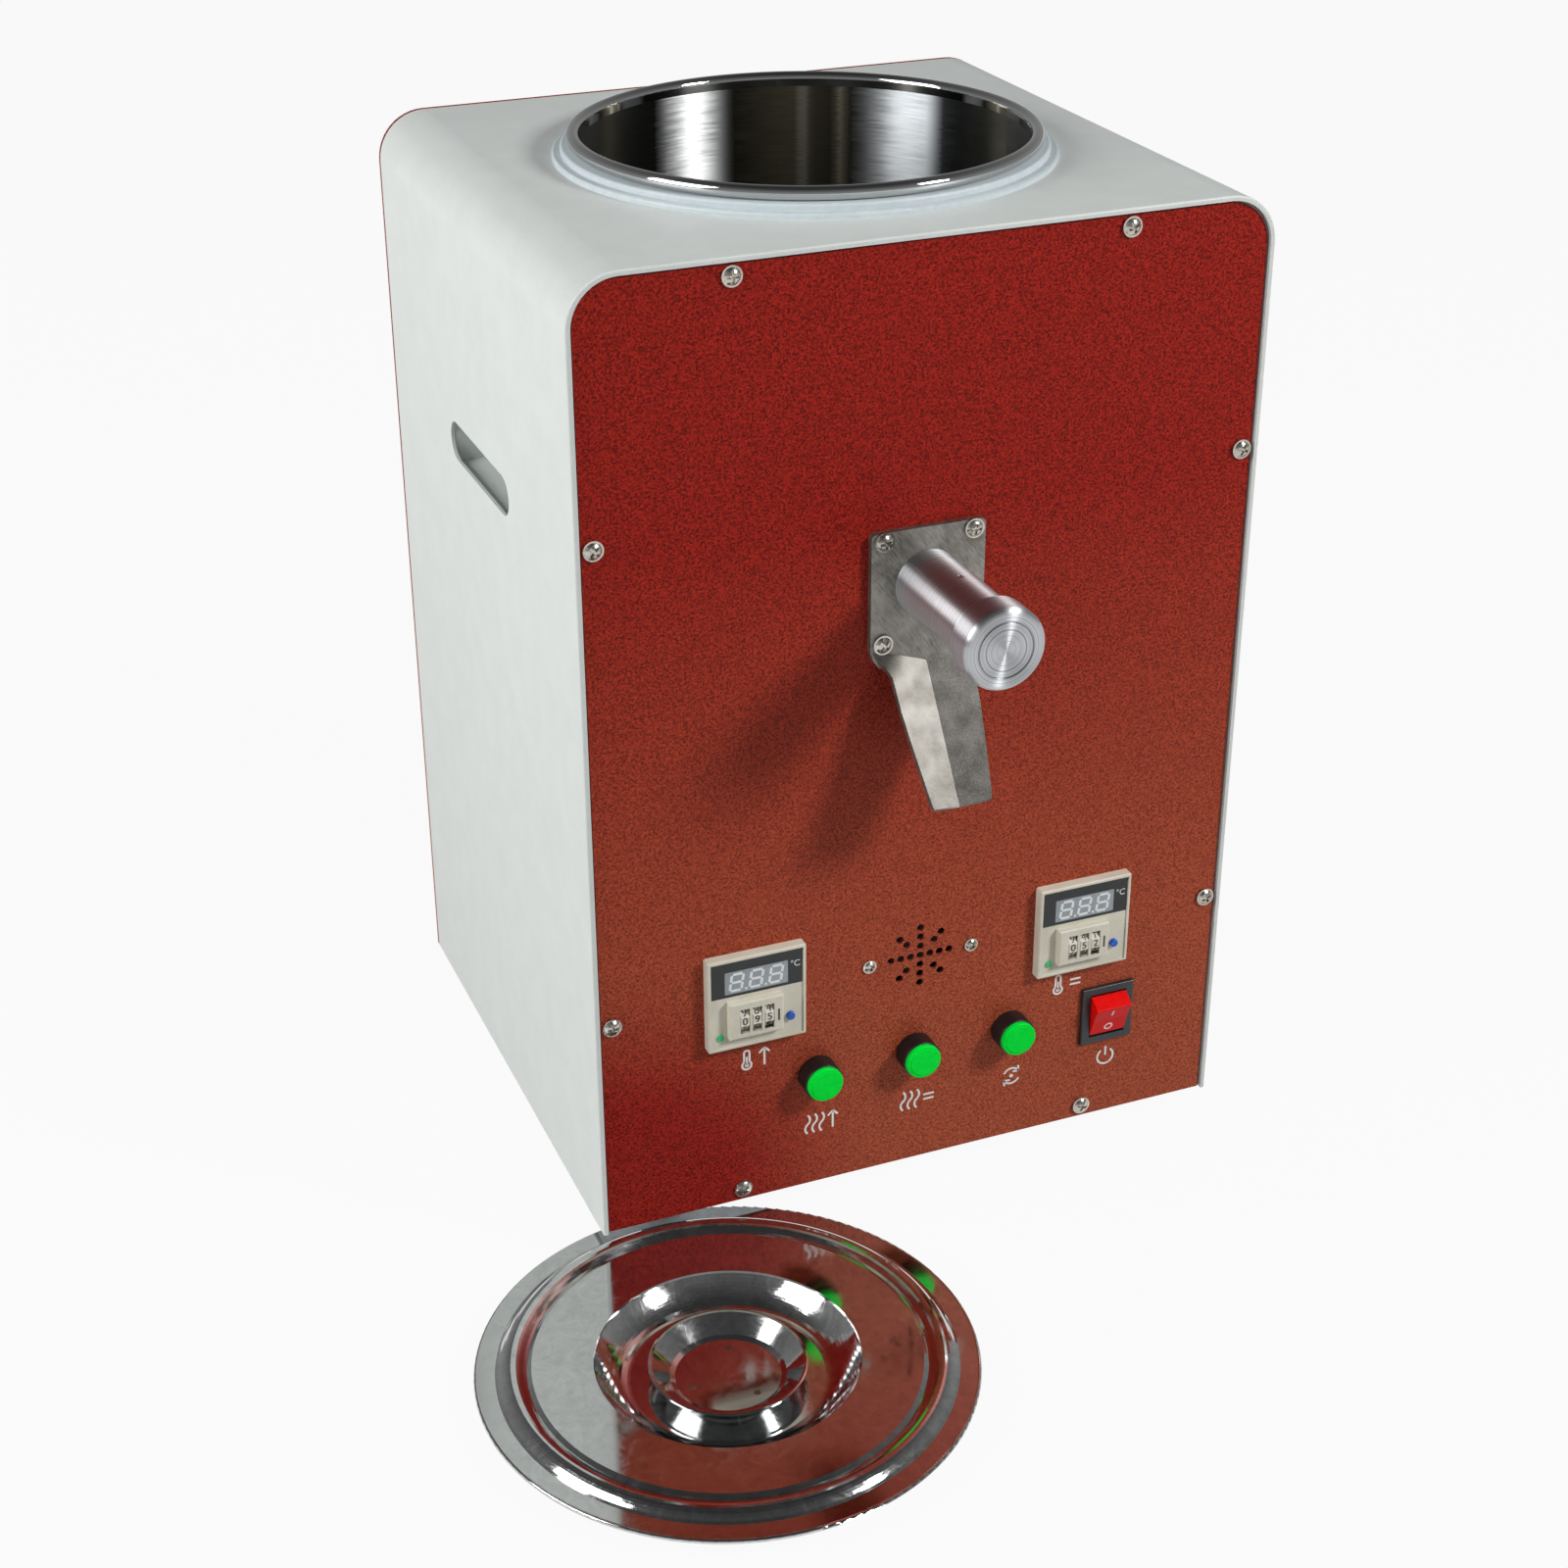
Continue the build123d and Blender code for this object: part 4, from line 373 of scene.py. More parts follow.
class SCENE_OT_agar_stage(bpy.types.Operator):
    """Sets up the camera, the pale floor and the soft lights"""
    bl_idname = "scene.agar_stage"
    bl_label = "Stage"

    def execute(self, context):
        sizes = context.scene.agar_stage
        turn = (Matrix.Rotation(-sizes.camera_yaw, 4, "Z")
                @ Matrix.Rotation(math.pi / 2 - sizes.camera_pitch, 4, "X")
                @ Matrix.Rotation(sizes.camera_roll, 4, "Z"))
        bpy.ops.object.camera_add(location=sizes.camera_place, rotation=turn.to_euler())
        camera = context.object
        camera.name = "camera"
        camera.data.sensor_width = 36.0
        camera.data.lens = sizes.camera_lens
        camera.data.clip_start = 0.05
        camera.data.clip_end = 50.0
        context.scene.camera = camera

        bpy.ops.mesh.primitive_plane_add(size=sizes.floor_size, location=(0, 0, 0))
        floor = context.object
        floor.name = "floor"
        floor.data.materials.append(self.bench_top(sizes))

        context.scene.world = self.studio(sizes)
        area_light("key light", sizes.key_place, sizes.key_power, target=(0.0, -0.1, 0.25), size=0.4)
        area_light("fill light", sizes.fill_place, sizes.fill_power, target=(0.0, 0.0, 0.25), size=0.9)
        context.scene.view_settings.view_transform = "Standard"
        return {"FINISHED"}

    def bench_top(self, sizes):
        """Matt laminate. Seen by the camera or in metal, most of its shade is washed out to white."""
        material, tree, shader, coords = new_material("pale bench top")
        haze = add(tree, "TexNoise", {"Vector": coords, "Scale": per_metre(400.0), "Detail": 2.0})
        rough = add(tree, "MapRange", {"Value": haze, "To Min": 0.55, "To Max": 0.65})
        connect(tree, shader, {"Roughness": rough, "Base Color": sizes.floor_colour})
        rays = add(tree, "LightPath").outputs
        seen = add(tree, "Math", {0: rays["Is Camera Ray"], 1: rays["Is Glossy Ray"]},
                   operation="MAXIMUM")
        seen = add(tree, "Math", {0: seen, 1: rays["Is Transmission Ray"]}, operation="MAXIMUM")
        share = add(tree, "Math", {0: seen, 1: sizes.floor_veil}, operation="MULTIPLY")
        white = add(tree, "Emission", {"Color": linear("#FFFFFF"), "Strength": 1.0})
        mix = add(tree, "MixShader", {"Fac": share, 1: shader, 2: white})
        connect(tree, tree.get_output_node("ALL"), {"Surface": mix})
        return material

    def studio(self, sizes):
        """A soft room, brighter near the horizon, with pure white behind the object."""
        world = bpy.data.worlds.new("studio")
        world.use_nodes = True
        tree = world.node_tree
        tree.nodes.clear()
        way = add(tree, "TexCoord").outputs["Generated"]
        height = add(tree, "SeparateXYZ", {"Vector": way}).outputs["Z"]
        room = add(tree, "MapRange", {"Value": height, "From Min": 0.1, "From Max": 0.95,
                                      "To Min": sizes.sky_low, "To Max": sizes.sky_high})
        even = add(tree, "Background", {"Color": linear("#FFFFFF"), "Strength": room})
        pure = add(tree, "Background", {"Color": linear("#FFFFFF"), "Strength": 1.0})
        rays = add(tree, "LightPath").outputs
        mix = add(tree, "MixShader", {"Fac": rays["Is Camera Ray"], 1: even, 2: pure})
        add(tree, "OutputWorld", {"Surface": mix})
        return world


# Finishes of the CAD nodes

class SCENE_OT_agar_cabinet_finish(bpy.types.Operator):
    """Paints the cabinet's sheets, its pockets, its screws and its feet"""
    bl_idname = "scene.agar_cabinet_finish"
    bl_label = "Cabinet finishes"

    def execute(self, context):
        colours = context.scene.agar_colours
        # Polyester powder coat, sprayed and baked: a satin skin with a fine orange peel, 1 mm across.
        finish_nodes(grained("powder-coated steel, off-white", colours.casing, colours.casing_shade, 1.1,
                             (0.36, 0.5), 0.05, Specular_IOR_Level=0.4),
                     "casing_wrap", "_hand_pocket")
        finish_nodes(self.enamel(colours), "front_panel", "rear_panel")
        # Zinc plating on cold-rolled sheet: dull grey, with cloudy patches a few millimetres across.
        finish_nodes(grained("zinc-plated sheet steel", "#B4B7B9", "#8F9396", 6.0, (0.36, 0.5), 0.01,
                             Metallic=1.0), "base_plate", "support_deck")
        # Moulded rubber: matt black with a fine dusty grain.
        finish_nodes(grained("moulded rubber, black", "#222223", "#131314", 0.6, (0.7, 0.85), 0.05),
                     "feet")
        # Nickel plating on cold-headed screws: warm, bright, with small forging marks in the recess.
        finish_nodes(grained("nickel-plated steel", "#DDD9D0", "#A39E94", 0.9, (0.16, 0.3), 0.03,
                             Metallic=1.0), "panel_screws", "tap_screws", "base_fasteners", "tap_pins")
        return {"FINISHED"}

    def enamel(self, colours):
        """Metallic stove enamel.

        Aluminium flakes in a red lacquer: a fine sparkle up close, a deep even red from afar.
        The flakes are drawn 0.7 mm wide, several times their real size, so that they show.
        The lower third is painted warmer and paler, a painted reflection of the pale bench,
        which is left out in the corner near the lid.
        """
        flake_mm, mottle_mm, mottle_share = 0.7, 1.1, 0.3
        # Painted reflection of the pale bench: the heights where it fades out, and its share low down.
        reflection_low, reflection_high, reflection_share = 0.10, 0.34, 0.62
        casing_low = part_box("casing_wrap")[0]
        corner = (casing_low.x, PANEL_FRONT, casing_low.z)
        corner_deep, corner_edge = 0.06, 0.14

        material, tree, shader, coords = new_material("metallic stove enamel, red")
        flakes = add(tree, "TexVoronoi", {"Vector": coords, "Scale": per_metre(flake_mm)})
        shine = add(tree, "SeparateColor", {"Color": flakes.outputs["Color"]}).outputs["Red"]
        mottle = add(tree, "TexNoise", {"Vector": coords, "Scale": per_metre(mottle_mm), "Detail": 2.0,
                                        "Roughness": 0.6})
        total = add(tree, "Math", {0: shine, 1: mottle_share, 2: mottle}, operation="MULTIPLY_ADD")
        speck = add(tree, "MapRange", {"Value": total, "From Min": 0.46, "From Max": 0.84})
        height = add(tree, "SeparateXYZ", {"Vector": coords}).outputs["Z"]
        warm = add(tree, "MapRange", {"Value": height, "From Min": reflection_low, "From Max": reflection_high,
                                      "To Min": reflection_share, "To Max": 0.0})
        # The painted reflection is taken away in the corner near the lid.
        reach = add(tree, "VectorMath", {0: coords, 1: corner}, operation="DISTANCE")
        clear = add(tree, "MapRange", {"Value": reach, "From Min": corner_deep, "From Max": corner_edge},
                    interpolation_type="SMOOTHSTEP")
        warm = add(tree, "Math", {0: warm, 1: clear}, operation="MULTIPLY")
        # The flake colours are mixed towards warm pale tints here: the painted reflection.
        light = add(tree, "Mix", {"Factor": warm, "A": colours.panel, "B": linear("#C4704C")},
                    data_type="RGBA")
        dark = add(tree, "Mix", {"Factor": warm, "A": colours.panel_deep, "B": linear("#8F4129")},
                   data_type="RGBA")
        colour = add(tree, "Mix", {"Factor": speck, "A": dark, "B": light}, data_type="RGBA")
        rough = add(tree, "MapRange", {"Value": total, "From Min": 0.3, "From Max": 1.0, "To Min": 0.34,
                                       "To Max": 0.52})
        bumps = add(tree, "Bump", {"Height": total, "Distance": 0.04 * MM, "Strength": 0.4})
        connect(tree, shader, {"Base Color": colour, "Roughness": rough, "Normal": bumps,
                               "Metallic": 0.12, "Specular IOR Level": 0.14})
        return material


class SCENE_OT_agar_pot_finish(bpy.types.Operator):
    """Gives the pot, its ring, its heater and its stirrer their finishes"""
    bl_idname = "scene.agar_pot_finish"
    bl_label = "Pot finishes"

    def execute(self, context):
        finish_nodes(self.brushed_round(), "pot")
        # Electropolished rod and sheet in the pot: bright, with a faint ripple.
        finish_nodes(grained("stainless steel, electropolished", "#DADADA", "#C4C4C4", 9.0, (0.12, 0.2),
                             0.01, Metallic=1.0), "stirrer_shaft", "stirrer_paddle")
        # Peroxide-cured silicone: milky and soft, it lets light in a little and looks damp at the edge.
        finish_nodes(grained("silicone rubber, natural white", "#CFD8DB", "#C4CED2", 4.0, (0.38, 0.5),
                             0.02, Subsurface_Weight=0.12, Subsurface_Scale=0.8 * MM),
                     "seat_ring", "outlet_gasket")
        # Lathe-turned steel: grey, with the tool's fine feed marks.
        finish_nodes(grained("turned steel", "#BDBEC0", "#8B8D90", 0.8, (0.26, 0.42), 0.02, Metallic=1.0),
                     "outlet_nozzle", "temperature_probes", "tap_plunger", "drive_coupling",
                     "band_heater", "gear_motor")
        # Near-black steel on the washer: a dark line between the barrel and the knob.
        finish_nodes(grained("near-black steel", "#2C2A28", "#191817", 0.8, (0.3, 0.45), 0.01,
                             Metallic=0.6), "knob_washer")
        # Needled ceramic fibre: matt, off-white, with loose fibres that leave it lumpy.
        finish_nodes(grained("ceramic-fibre felt", "#E5E0D4", "#C9C1B0", 1.8, (0.85, 0.95), 0.5,
                             Sheen_Weight=0.2), "insulation_jacket")
        # Machined brass: yellow, slightly tarnished in patches.
        finish_nodes(grained("machined brass", "#C9A862", "#9A7A42", 2.5, (0.24, 0.4), 0.02, Metallic=1.0),
                     "shaft_gland")
        # Moulded nitrile rubber: near black and smooth.
        finish_nodes(grained("nitrile rubber, dark", "#241A18", "#171110", 0.7, (0.5, 0.65), 0.02),
                     "plunger_rings", "shaft_seal", "thermal_cutout")
        return {"FINISHED"}

    def brushed_round(self):
        """Stainless steel brushed round its wall.

        Deep drawn, then brushed as it turns: the scratches run round, so highlights stand upright.
        Bright and dark bands round the wall are painted highlights and painted reflections.
        The curled rim is polished.
        """
        scratch_mm, drawn_out, rim_deep = 0.7, 0.004, 6.2 * MM
        # Painted highlights and reflections: shares of a turn, and the colour painted on the steel there.
        painted_wall_reflections = (
            (0.1, "#A9A8A4"), (0.4, "#55544F"), (0.442, "#3A3936"), (0.455, "#F4F6F6"),
            (0.498, "#CDD0CF"), (0.51, "#3A3731"), (0.54, "#8D8670"), (0.559, "#A39B82"),
            (0.565, "#FFF9E6"), (0.571, "#8D8670"), (0.588, "#6A6454"), (0.594, "#E3DBC0"),
            (0.6, "#4A4740"), (0.618, "#C9CDCF"), (0.665, "#B4B9BC"), (0.68, "#3B3D3E"),
            (0.8, "#8D8C88"))

        material, tree, shader, coords = new_material("stainless steel, brushed round")
        centre = middle("pot")
        moved = add(tree, "Mapping", {"Vector": coords, "Location": (-centre.x, -centre.y, 0.0)})
        parts = add(tree, "SeparateXYZ", {"Vector": moved}).outputs
        angle = add(tree, "Math", {0: parts["X"], 1: parts["Y"]}, operation="ARCTAN2")
        wide = add(tree, "Math", {0: angle, 1: drawn_out}, operation="MULTIPLY")
        around = add(tree, "CombineXYZ", {"X": wide, "Y": 0.0, "Z": parts["Z"]})
        scratches = add(tree, "TexNoise", {"Vector": around, "Scale": per_metre(scratch_mm),
                                           "Detail": 3.0, "Roughness": 0.6})
        wobble = add(tree, "Math", {0: scratches, 1: 0.05, 2: angle}, operation="MULTIPLY_ADD")
        place = add(tree, "MapRange", {"Value": wobble, "From Min": -math.pi, "From Max": math.pi})
        # Painted highlights and reflections: the steel's colour is set by the angle round the wall.
        bands = add(tree, "ValToRGB", {"Fac": place}, stops=painted_wall_reflections)
        fine = add(tree, "MapRange", {"Value": scratches, **NOISE_SPAN, "To Min": 0.85, "To Max": 1.1})
        steel = add(tree, "VectorMath", {0: bands, "Scale": fine}, operation="SCALE")
        wall_rough = add(tree, "MapRange", {"Value": scratches, **NOISE_SPAN, "To Min": 0.28,
                                            "To Max": 0.4})
        is_rim = add(tree, "Math", {0: parts["Z"], 1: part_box("pot")[1].z - rim_deep},
                     operation="GREATER_THAN")
        colour = add(tree, "Mix", {"Factor": is_rim, "A": steel, "B": linear("#C9CACB")},
                     data_type="RGBA")
        rough = add(tree, "Mix", {"Factor": is_rim, "A": wall_rough, "B": 0.08})
        bumps = add(tree, "Bump", {"Height": scratches, "Distance": 0.01 * MM, "Strength": 0.2})
        along = add(tree, "Tangent", direction_type="RADIAL", axis="Z")
        connect(tree, shader, {"Base Color": colour, "Roughness": rough, "Normal": bumps,
                               "Tangent": along, "Metallic": 1.0, "Anisotropic": 0.92,
                               "Anisotropic Rotation": 0.25})
        return material


class SCENE_OT_agar_tap_finish(bpy.types.Operator):
    """Gives the tap its cast and turned finishes"""
    bl_idname = "scene.agar_tap_finish"
    bl_label = "Tap finishes"

    def execute(self, context):
        # Gravity-cast aluminium, linished on its flat faces: soft grey, with slanting belt lines.
        finish_nodes(grained("cast aluminium, linished", "#A3A09A", "#6B6861", 0.6, (0.46, 0.62), 0.03,
                             stretch=(1.0, 1.0, 0.15), turn=(0.0, math.radians(35), 0.0), Metallic=1.0),
                     "tap_body")
        finish_nodes(self.turned("turned aluminium, knob", "tap_knob"), "tap_knob")
        finish_nodes(self.turned("turned aluminium, barrel", "tap_barrel"), "tap_barrel")
        return {"FINISHED"}

    def turned(self, name, node):
        """Turned aluminium.

        The tool leaves fine rings round the axis, so highlights run along the barrel and fan out
        on an end face, where two grooves are drawn as thin rings of painted shade. The tool's rings
        are drawn a few times the feed.
        """
        ring_mm = 0.5
        groove_inner, groove_outer, groove_half = 9.0 * MM, 12.0 * MM, 0.13 * MM

        material, tree, shader, coords = new_material(name)
        centre = middle(node)
        moved = add(tree, "Mapping", {"Vector": coords, "Location": (-centre.x, 0.0, -centre.z)})
        parts = add(tree, "SeparateXYZ", {"Vector": moved}).outputs
        flat = add(tree, "CombineXYZ", {"X": parts["X"], "Y": 0.0, "Z": parts["Z"]})
        radius = add(tree, "VectorMath", {0: flat}, operation="LENGTH")
        way = add(tree, "Math", {0: radius, 1: parts["Y"]}, operation="ADD")
        rings = add(tree, "TexNoise", {"W": way, "Scale": per_metre(ring_mm), "Detail": 2.0},
                    noise_dimensions="1D")
        # Painted shade: two thin dark rings where the end face's grooves lie.
        off = add(tree, "Math", {0: radius, 1: (groove_outer + groove_inner) / 2}, operation="SUBTRACT")
        off = add(tree, "Math", {0: off}, operation="ABSOLUTE")
        groove_shade = add(tree, "Math", {0: off, 1: (groove_outer - groove_inner) / 2, 2: groove_half},
                     operation="COMPARE")
        shine = add(tree, "ValToRGB", {"Fac": rings}, stops=((0.3, "#A0A2A6"), (0.7, "#D5D7D9")))
        colour = add(tree, "Mix", {"Factor": groove_shade, "A": shine, "B": linear("#6E6F72")},
                     data_type="RGBA")
        rough = add(tree, "MapRange", {"Value": rings, **NOISE_SPAN, "To Min": 0.34, "To Max": 0.44})
        bumps = add(tree, "Bump", {"Height": rings, "Distance": 0.02 * MM, "Strength": 0.3})
        around = add(tree, "Tangent", direction_type="RADIAL", axis="Y")
        connect(tree, shader, {"Base Color": colour, "Roughness": rough, "Normal": bumps,
                               "Tangent": around, "Metallic": 1.0, "Anisotropic": 0.95,
                               "Anisotropic Rotation": 0.25})
        return material


class SCENE_OT_agar_lid_finish(bpy.types.Operator):
    """Polishes the lid and its cup, with the scratches of use and three spot welds"""
    bl_idname = "scene.agar_lid_finish"
    bl_label = "Lid finish"

    def execute(self, context):
        finish_nodes(self.polished(), "lid_cover", "lid_knob")
        self.welds()
        return {"FINISHED"}

    def polished(self):
        """Stainless steel polished in swirls: nearly a mirror, with fine scratches of use every way."""
        swirl_mm, scratch_apart_mm = 16.0, 7.0
        material, tree, shader, coords = new_material("stainless steel, polished")
        swirl = add(tree, "TexNoise", {"Vector": coords, "Scale": per_metre(swirl_mm), "Detail": 5.0,
                                       "Roughness": 0.75, "Distortion": 2.5})
        scuff = add(tree, "TexVoronoi", {"Vector": coords, "Scale": per_metre(scratch_apart_mm)},
                    feature="DISTANCE_TO_EDGE")
        lines = add(tree, "MapRange", {"Value": scuff, "From Min": 0.0, "From Max": 0.03, "To Min": 0.12,
                                       "To Max": 0.0})
        total = add(tree, "Math", {0: swirl, 1: lines}, operation="ADD")
        colour = add(tree, "ValToRGB", {"Fac": total}, stops=((0.3, "#BDBEBE"), (0.7, "#DADBDB")))
        rough = add(tree, "MapRange", {"Value": total, "From Min": 0.35, "From Max": 0.8, "To Min": 0.05,
                                       "To Max": 0.16})
        bumps = add(tree, "Bump", {"Height": swirl, "Distance": 0.02 * MM, "Strength": 0.2})
        connect(tree, shader, {"Base Color": colour, "Roughness": rough, "Normal": bumps,
                               "Metallic": 1.0})
        return material

    def welds(self):
        """Three shallow spot welds that hold the cup to the cover."""
        circle, cup_floor = 17.0 * MM, 0.8 * MM
        centre = middle("lid_knob")
        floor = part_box("lid_knob")[0].z + cup_floor
        # Resistance welds leave a pressed dimple with a straw-brown heat tint.
        tint = grained("heat-tinted spot weld", "#8C7B66", "#544638", 0.6, (0.3, 0.45), 0.02, Metallic=1.0)
        ring, spot = arc(1.2 * MM, 0.7 * MM, 0, 360), arc(0.35 * MM, 0.66 * MM, 0, 360)
        first = thickened("spot_weld_1", [ring, spot], 0.06 * MM)
        welds = [first, copied(first, "spot_weld_2"), copied(first, "spot_weld_3")]
        for item, degrees in zip(welds, (68.0, 186.0, 295.0)):
            turn = math.radians(degrees)
            item.location = (centre.x + circle * math.cos(turn), centre.y + circle * math.sin(turn), floor)
            settle(item)
            hand_over(item, tint, "lid")


class SCENE_OT_agar_control_finish(bpy.types.Operator):
    """Gives the controllers, buttons, switch and inlet their plastics"""
    bl_idname = "scene.agar_control_finish"
    bl_label = "Control finishes"

    def execute(self, context):
        colours = context.scene.agar_colours
        # Injection-moulded ABS with a spark-eroded grain: satin, warm off-white.
        finish_nodes(grained("moulded ABS, ivory", "#E2DECF", "#D2CDBB", 0.7, (0.38, 0.5), 0.02),
                     "_controller_case")
        finish_nodes(self.window(), "_controller_window")
        # Moulded nylon: creamy and a little waxy.
        finish_nodes(grained("moulded nylon, cream", "#E6E2D4", "#D8D3C2", 0.8, (0.4, 0.5), 0.01),
                     "_wheel")
        # Glossy ABS key: even blue, with a crisp highlight.
        finish_nodes(grained("moulded ABS, blue", "#0C66DC", "#0850B4", 1.0, (0.22, 0.32), 0.01),
                     "_reset_button")
        # Glass-filled nylon: black, with pale fibre flecks that dull it.
        finish_nodes(grained("glass-filled nylon, black", "#1D1E20", "#0F1011", 0.7, (0.36, 0.5), 0.02),
                     "controller_clamps", "button_nuts", "alarm_speaker", "mains_inlet", "fuse_drawer",
                     "_button_body")
        # Clear-tinted acrylic cap over a white diffuser: a strong, even green that seems to glow.
        finish_nodes(grained("tinted acrylic, green", colours.button, "#00E63E", 3.0, (0.34, 0.42), 0.01,
                             Specular_IOR_Level=0.08), "_button_cap")
        # Satin ABS frame: black with a grey sheen on its edges.
        finish_nodes(grained("moulded ABS, satin black", "#2B2E31", "#1A1D20", 0.7, (0.32, 0.42), 0.01),
                     "rocker_switch_body")
        # Tinted polycarbonate: clear red right through, bright where light passes.
        finish_nodes(grained("tinted polycarbonate, red", colours.rocker, "#E20805", 3.0, (0.3, 0.4), 0.01,
                             Specular_IOR_Level=0.12), "rocker")
        # Phenolic moulding: grey-beige, slightly mottled.
        finish_nodes(grained("moulded phenolic resin, grey", "#BEBBB2", "#A5A299", 2.0, (0.45, 0.6), 0.02),
                     "heater_relays")
        return {"FINISHED"}

    def window(self):
        """Smoked acrylic: polished cast sheet, dark and glossy with a faint wave.

        The lamp's green lens belongs to the same node, and lies below the controller's middle.
        """
        material, tree, shader, coords = new_material("smoked acrylic")
        wave = add(tree, "TexNoise", {"Vector": coords, "Scale": per_metre(9.0), "Detail": 2.0})
        smoke = add(tree, "ValToRGB", {"Fac": wave}, stops=((0.3, "#0D1011"), (0.7, "#171C1E")))
        lens = add(tree, "ValToRGB", {"Fac": wave}, stops=((0.3, "#1FA45C"), (0.7, "#46D886")))
        height = add(tree, "SeparateXYZ", {"Vector": coords}).outputs["Z"]
        is_lens = add(tree, "Math", {0: height, 1: middle("heating_controller_case").z},
                      operation="LESS_THAN")
        colour = add(tree, "Mix", {"Factor": is_lens, "A": smoke, "B": lens}, data_type="RGBA")
        rough = add(tree, "MapRange", {"Value": wave, "To Min": 0.1, "To Max": 0.18})
        bumps = add(tree, "Bump", {"Height": wave, "Distance": 0.01 * MM, "Strength": 0.3})
        connect(tree, shader, {"Base Color": colour, "Roughness": rough, "Normal": bumps})
        return material


# New pieces

class MESH_OT_agar_signs(bpy.types.Operator):
    """Prints a plain sign under each controller, button and the switch"""
    bl_idname = "mesh.agar_signs"
    bl_label = "Printed signs"

    def execute(self, context):
        sizes = context.scene.agar_signs
        # Screen-printed epoxy ink: opaque white, slightly uneven at the edge of its film.
        ink = grained("screen-printed ink, white", context.scene.agar_colours.ink, "#E6E6E2", 0.8,
                      (0.4, 0.5), 0.01)
        arrow, level = merged(self.arrow(sizes)), merged(self.level(sizes))
        gauge = merged(self.gauge(sizes))
        second_gauge = copied(gauge)
        waves = merged(self.waves(sizes))
        # Each sign's parts, the node above it, and its place from that node's middle in millimetres.
        signs = (
            ("heating_controller", [gauge, arrow], "heating_controller_case", (0.0, -34.1)),
            ("holding_controller", [second_gauge, level], "holding_controller_case", (-6.0, -32.1)),
            ("heating_button", [waves, copied(arrow)], "heating_button_cap", (3.1, -27.6)),
            ("holding_button", [copied(waves), copied(level)], "holding_button_cap", (2.5, -27.6)),
            ("stirring_button", self.stir(sizes), "stirring_button_cap", (2.5, -27.6)),
            ("power", self.power(sizes), "rocker_switch_body", (1.4, -25.7)),
        )
        for name, parts, above, (across, up) in signs:
            item = thickened(f"sign_{name}", parts, sizes.ink)
            start = middle(above)
            stand(item, (start.x + across * MM, PANEL_FRONT, start.z + up * MM))
            hand_over(item, ink, "cabinet")
        return {"FINISHED"}

    def waves(self, sizes):
        """Three upright wavy lines of rising heat, left of the middle."""
        half_sweep = 50
        bend = sizes.height / 4
        radius = bend / math.sin(math.radians(half_sweep))
        set_back = radius * math.cos(math.radians(half_sweep))
        upper, lower = (arc(radius, sizes.line, side - half_sweep, side + half_sweep, 12)
                        for side in (0, 180))
        wave = merged([*laid(upper, (-set_back, bend, 0.0)), *laid(lower, (set_back, -bend, 0.0))])
        return laid(wave, *((share * sizes.height, 0.0, 0.0) for share in (-0.75, -0.4, -0.05)))

    def gauge(self, sizes):
        """A thermometer, left of the middle: an open stem over a round bulb with a filled heart."""
        half = sizes.height / 2
        at = -0.35 * sizes.height
        stem = 0.13 * sizes.height
        bulb = 0.22 * sizes.height
        heart = 0.1 * sizes.height
        low = -half + bulb
        top = half - stem
        opening = math.degrees(math.asin(stem / bulb))
        foot = low + bulb * math.cos(math.radians(opening))
        return [*laid(arc(bulb, sizes.line, 90 + opening, 450 - opening), (at, low, 0.0)),
                *laid(arc(stem, sizes.line, 0, 180), (at, top, 0.0)),
                *laid(bar(sizes.line, top - foot), (at - stem, (foot + top) / 2, 0.0),
                      (at + stem, (foot + top) / 2, 0.0)),
                *laid(arc(heart / 2, heart, 0, 360), (at, low, 0.0)),
                *laid(bar(0.8 * sizes.line, top - low - 2 * heart), (at, (low + top) / 2 - heart, 0.0))]

    def arrow(self, sizes):
        """An upright arrow, right of the middle."""
        at = 0.5 * sizes.height
        reach = 0.36 * sizes.height
        lean = math.radians(45)
        drop = reach / 2 * math.cos(lean)
        rise = sizes.height / 2 - drop - sizes.line / 4
        return [*laid(bar(sizes.line, sizes.height - sizes.line), (at, 0.0, 0.0)),
                *laid(bar(sizes.line, reach), (at - drop, rise, -lean), (at + drop, rise, lean))]

    def level(self, sizes):
        """Two level bars, right of the middle."""
        places = ((0.55 * sizes.height, side * 0.13 * sizes.height, 0.0) for side in (-1, 1))
        return laid(bar(0.55 * sizes.height, sizes.line), *places)

    def stir(self, sizes):
        """Two arrows that chase each other round a hub."""
        radius = 0.42 * sizes.height
        reach = 0.3 * sizes.height
        first, sweep = 30, 125
        barbs = []
        for lean in (-27, 57):
            way = math.radians(first + 90 + lean)
            tip = math.radians(first)
            barbs.append((radius * math.cos(tip) + reach / 2 * math.cos(way),
                          radius * math.sin(tip) + reach / 2 * math.sin(way), way - math.pi / 2))
        chaser = merged([arc(radius, sizes.line, first, first + sweep),
                         *laid(bar(sizes.line, reach), *barbs)])
        return [arc(0.5 * sizes.line, sizes.line, 0, 360),
                *laid(chaser, (0.0, 0.0, 0.0), (0.0, 0.0, math.pi))]

    def power(self, sizes):
        """A broken ring with an upright line."""
        return [arc(0.42 * sizes.height, sizes.line, 125, 415),
                *laid(bar(sizes.line, 0.5 * sizes.height), (0.0, 0.3 * sizes.height, 0.0))]


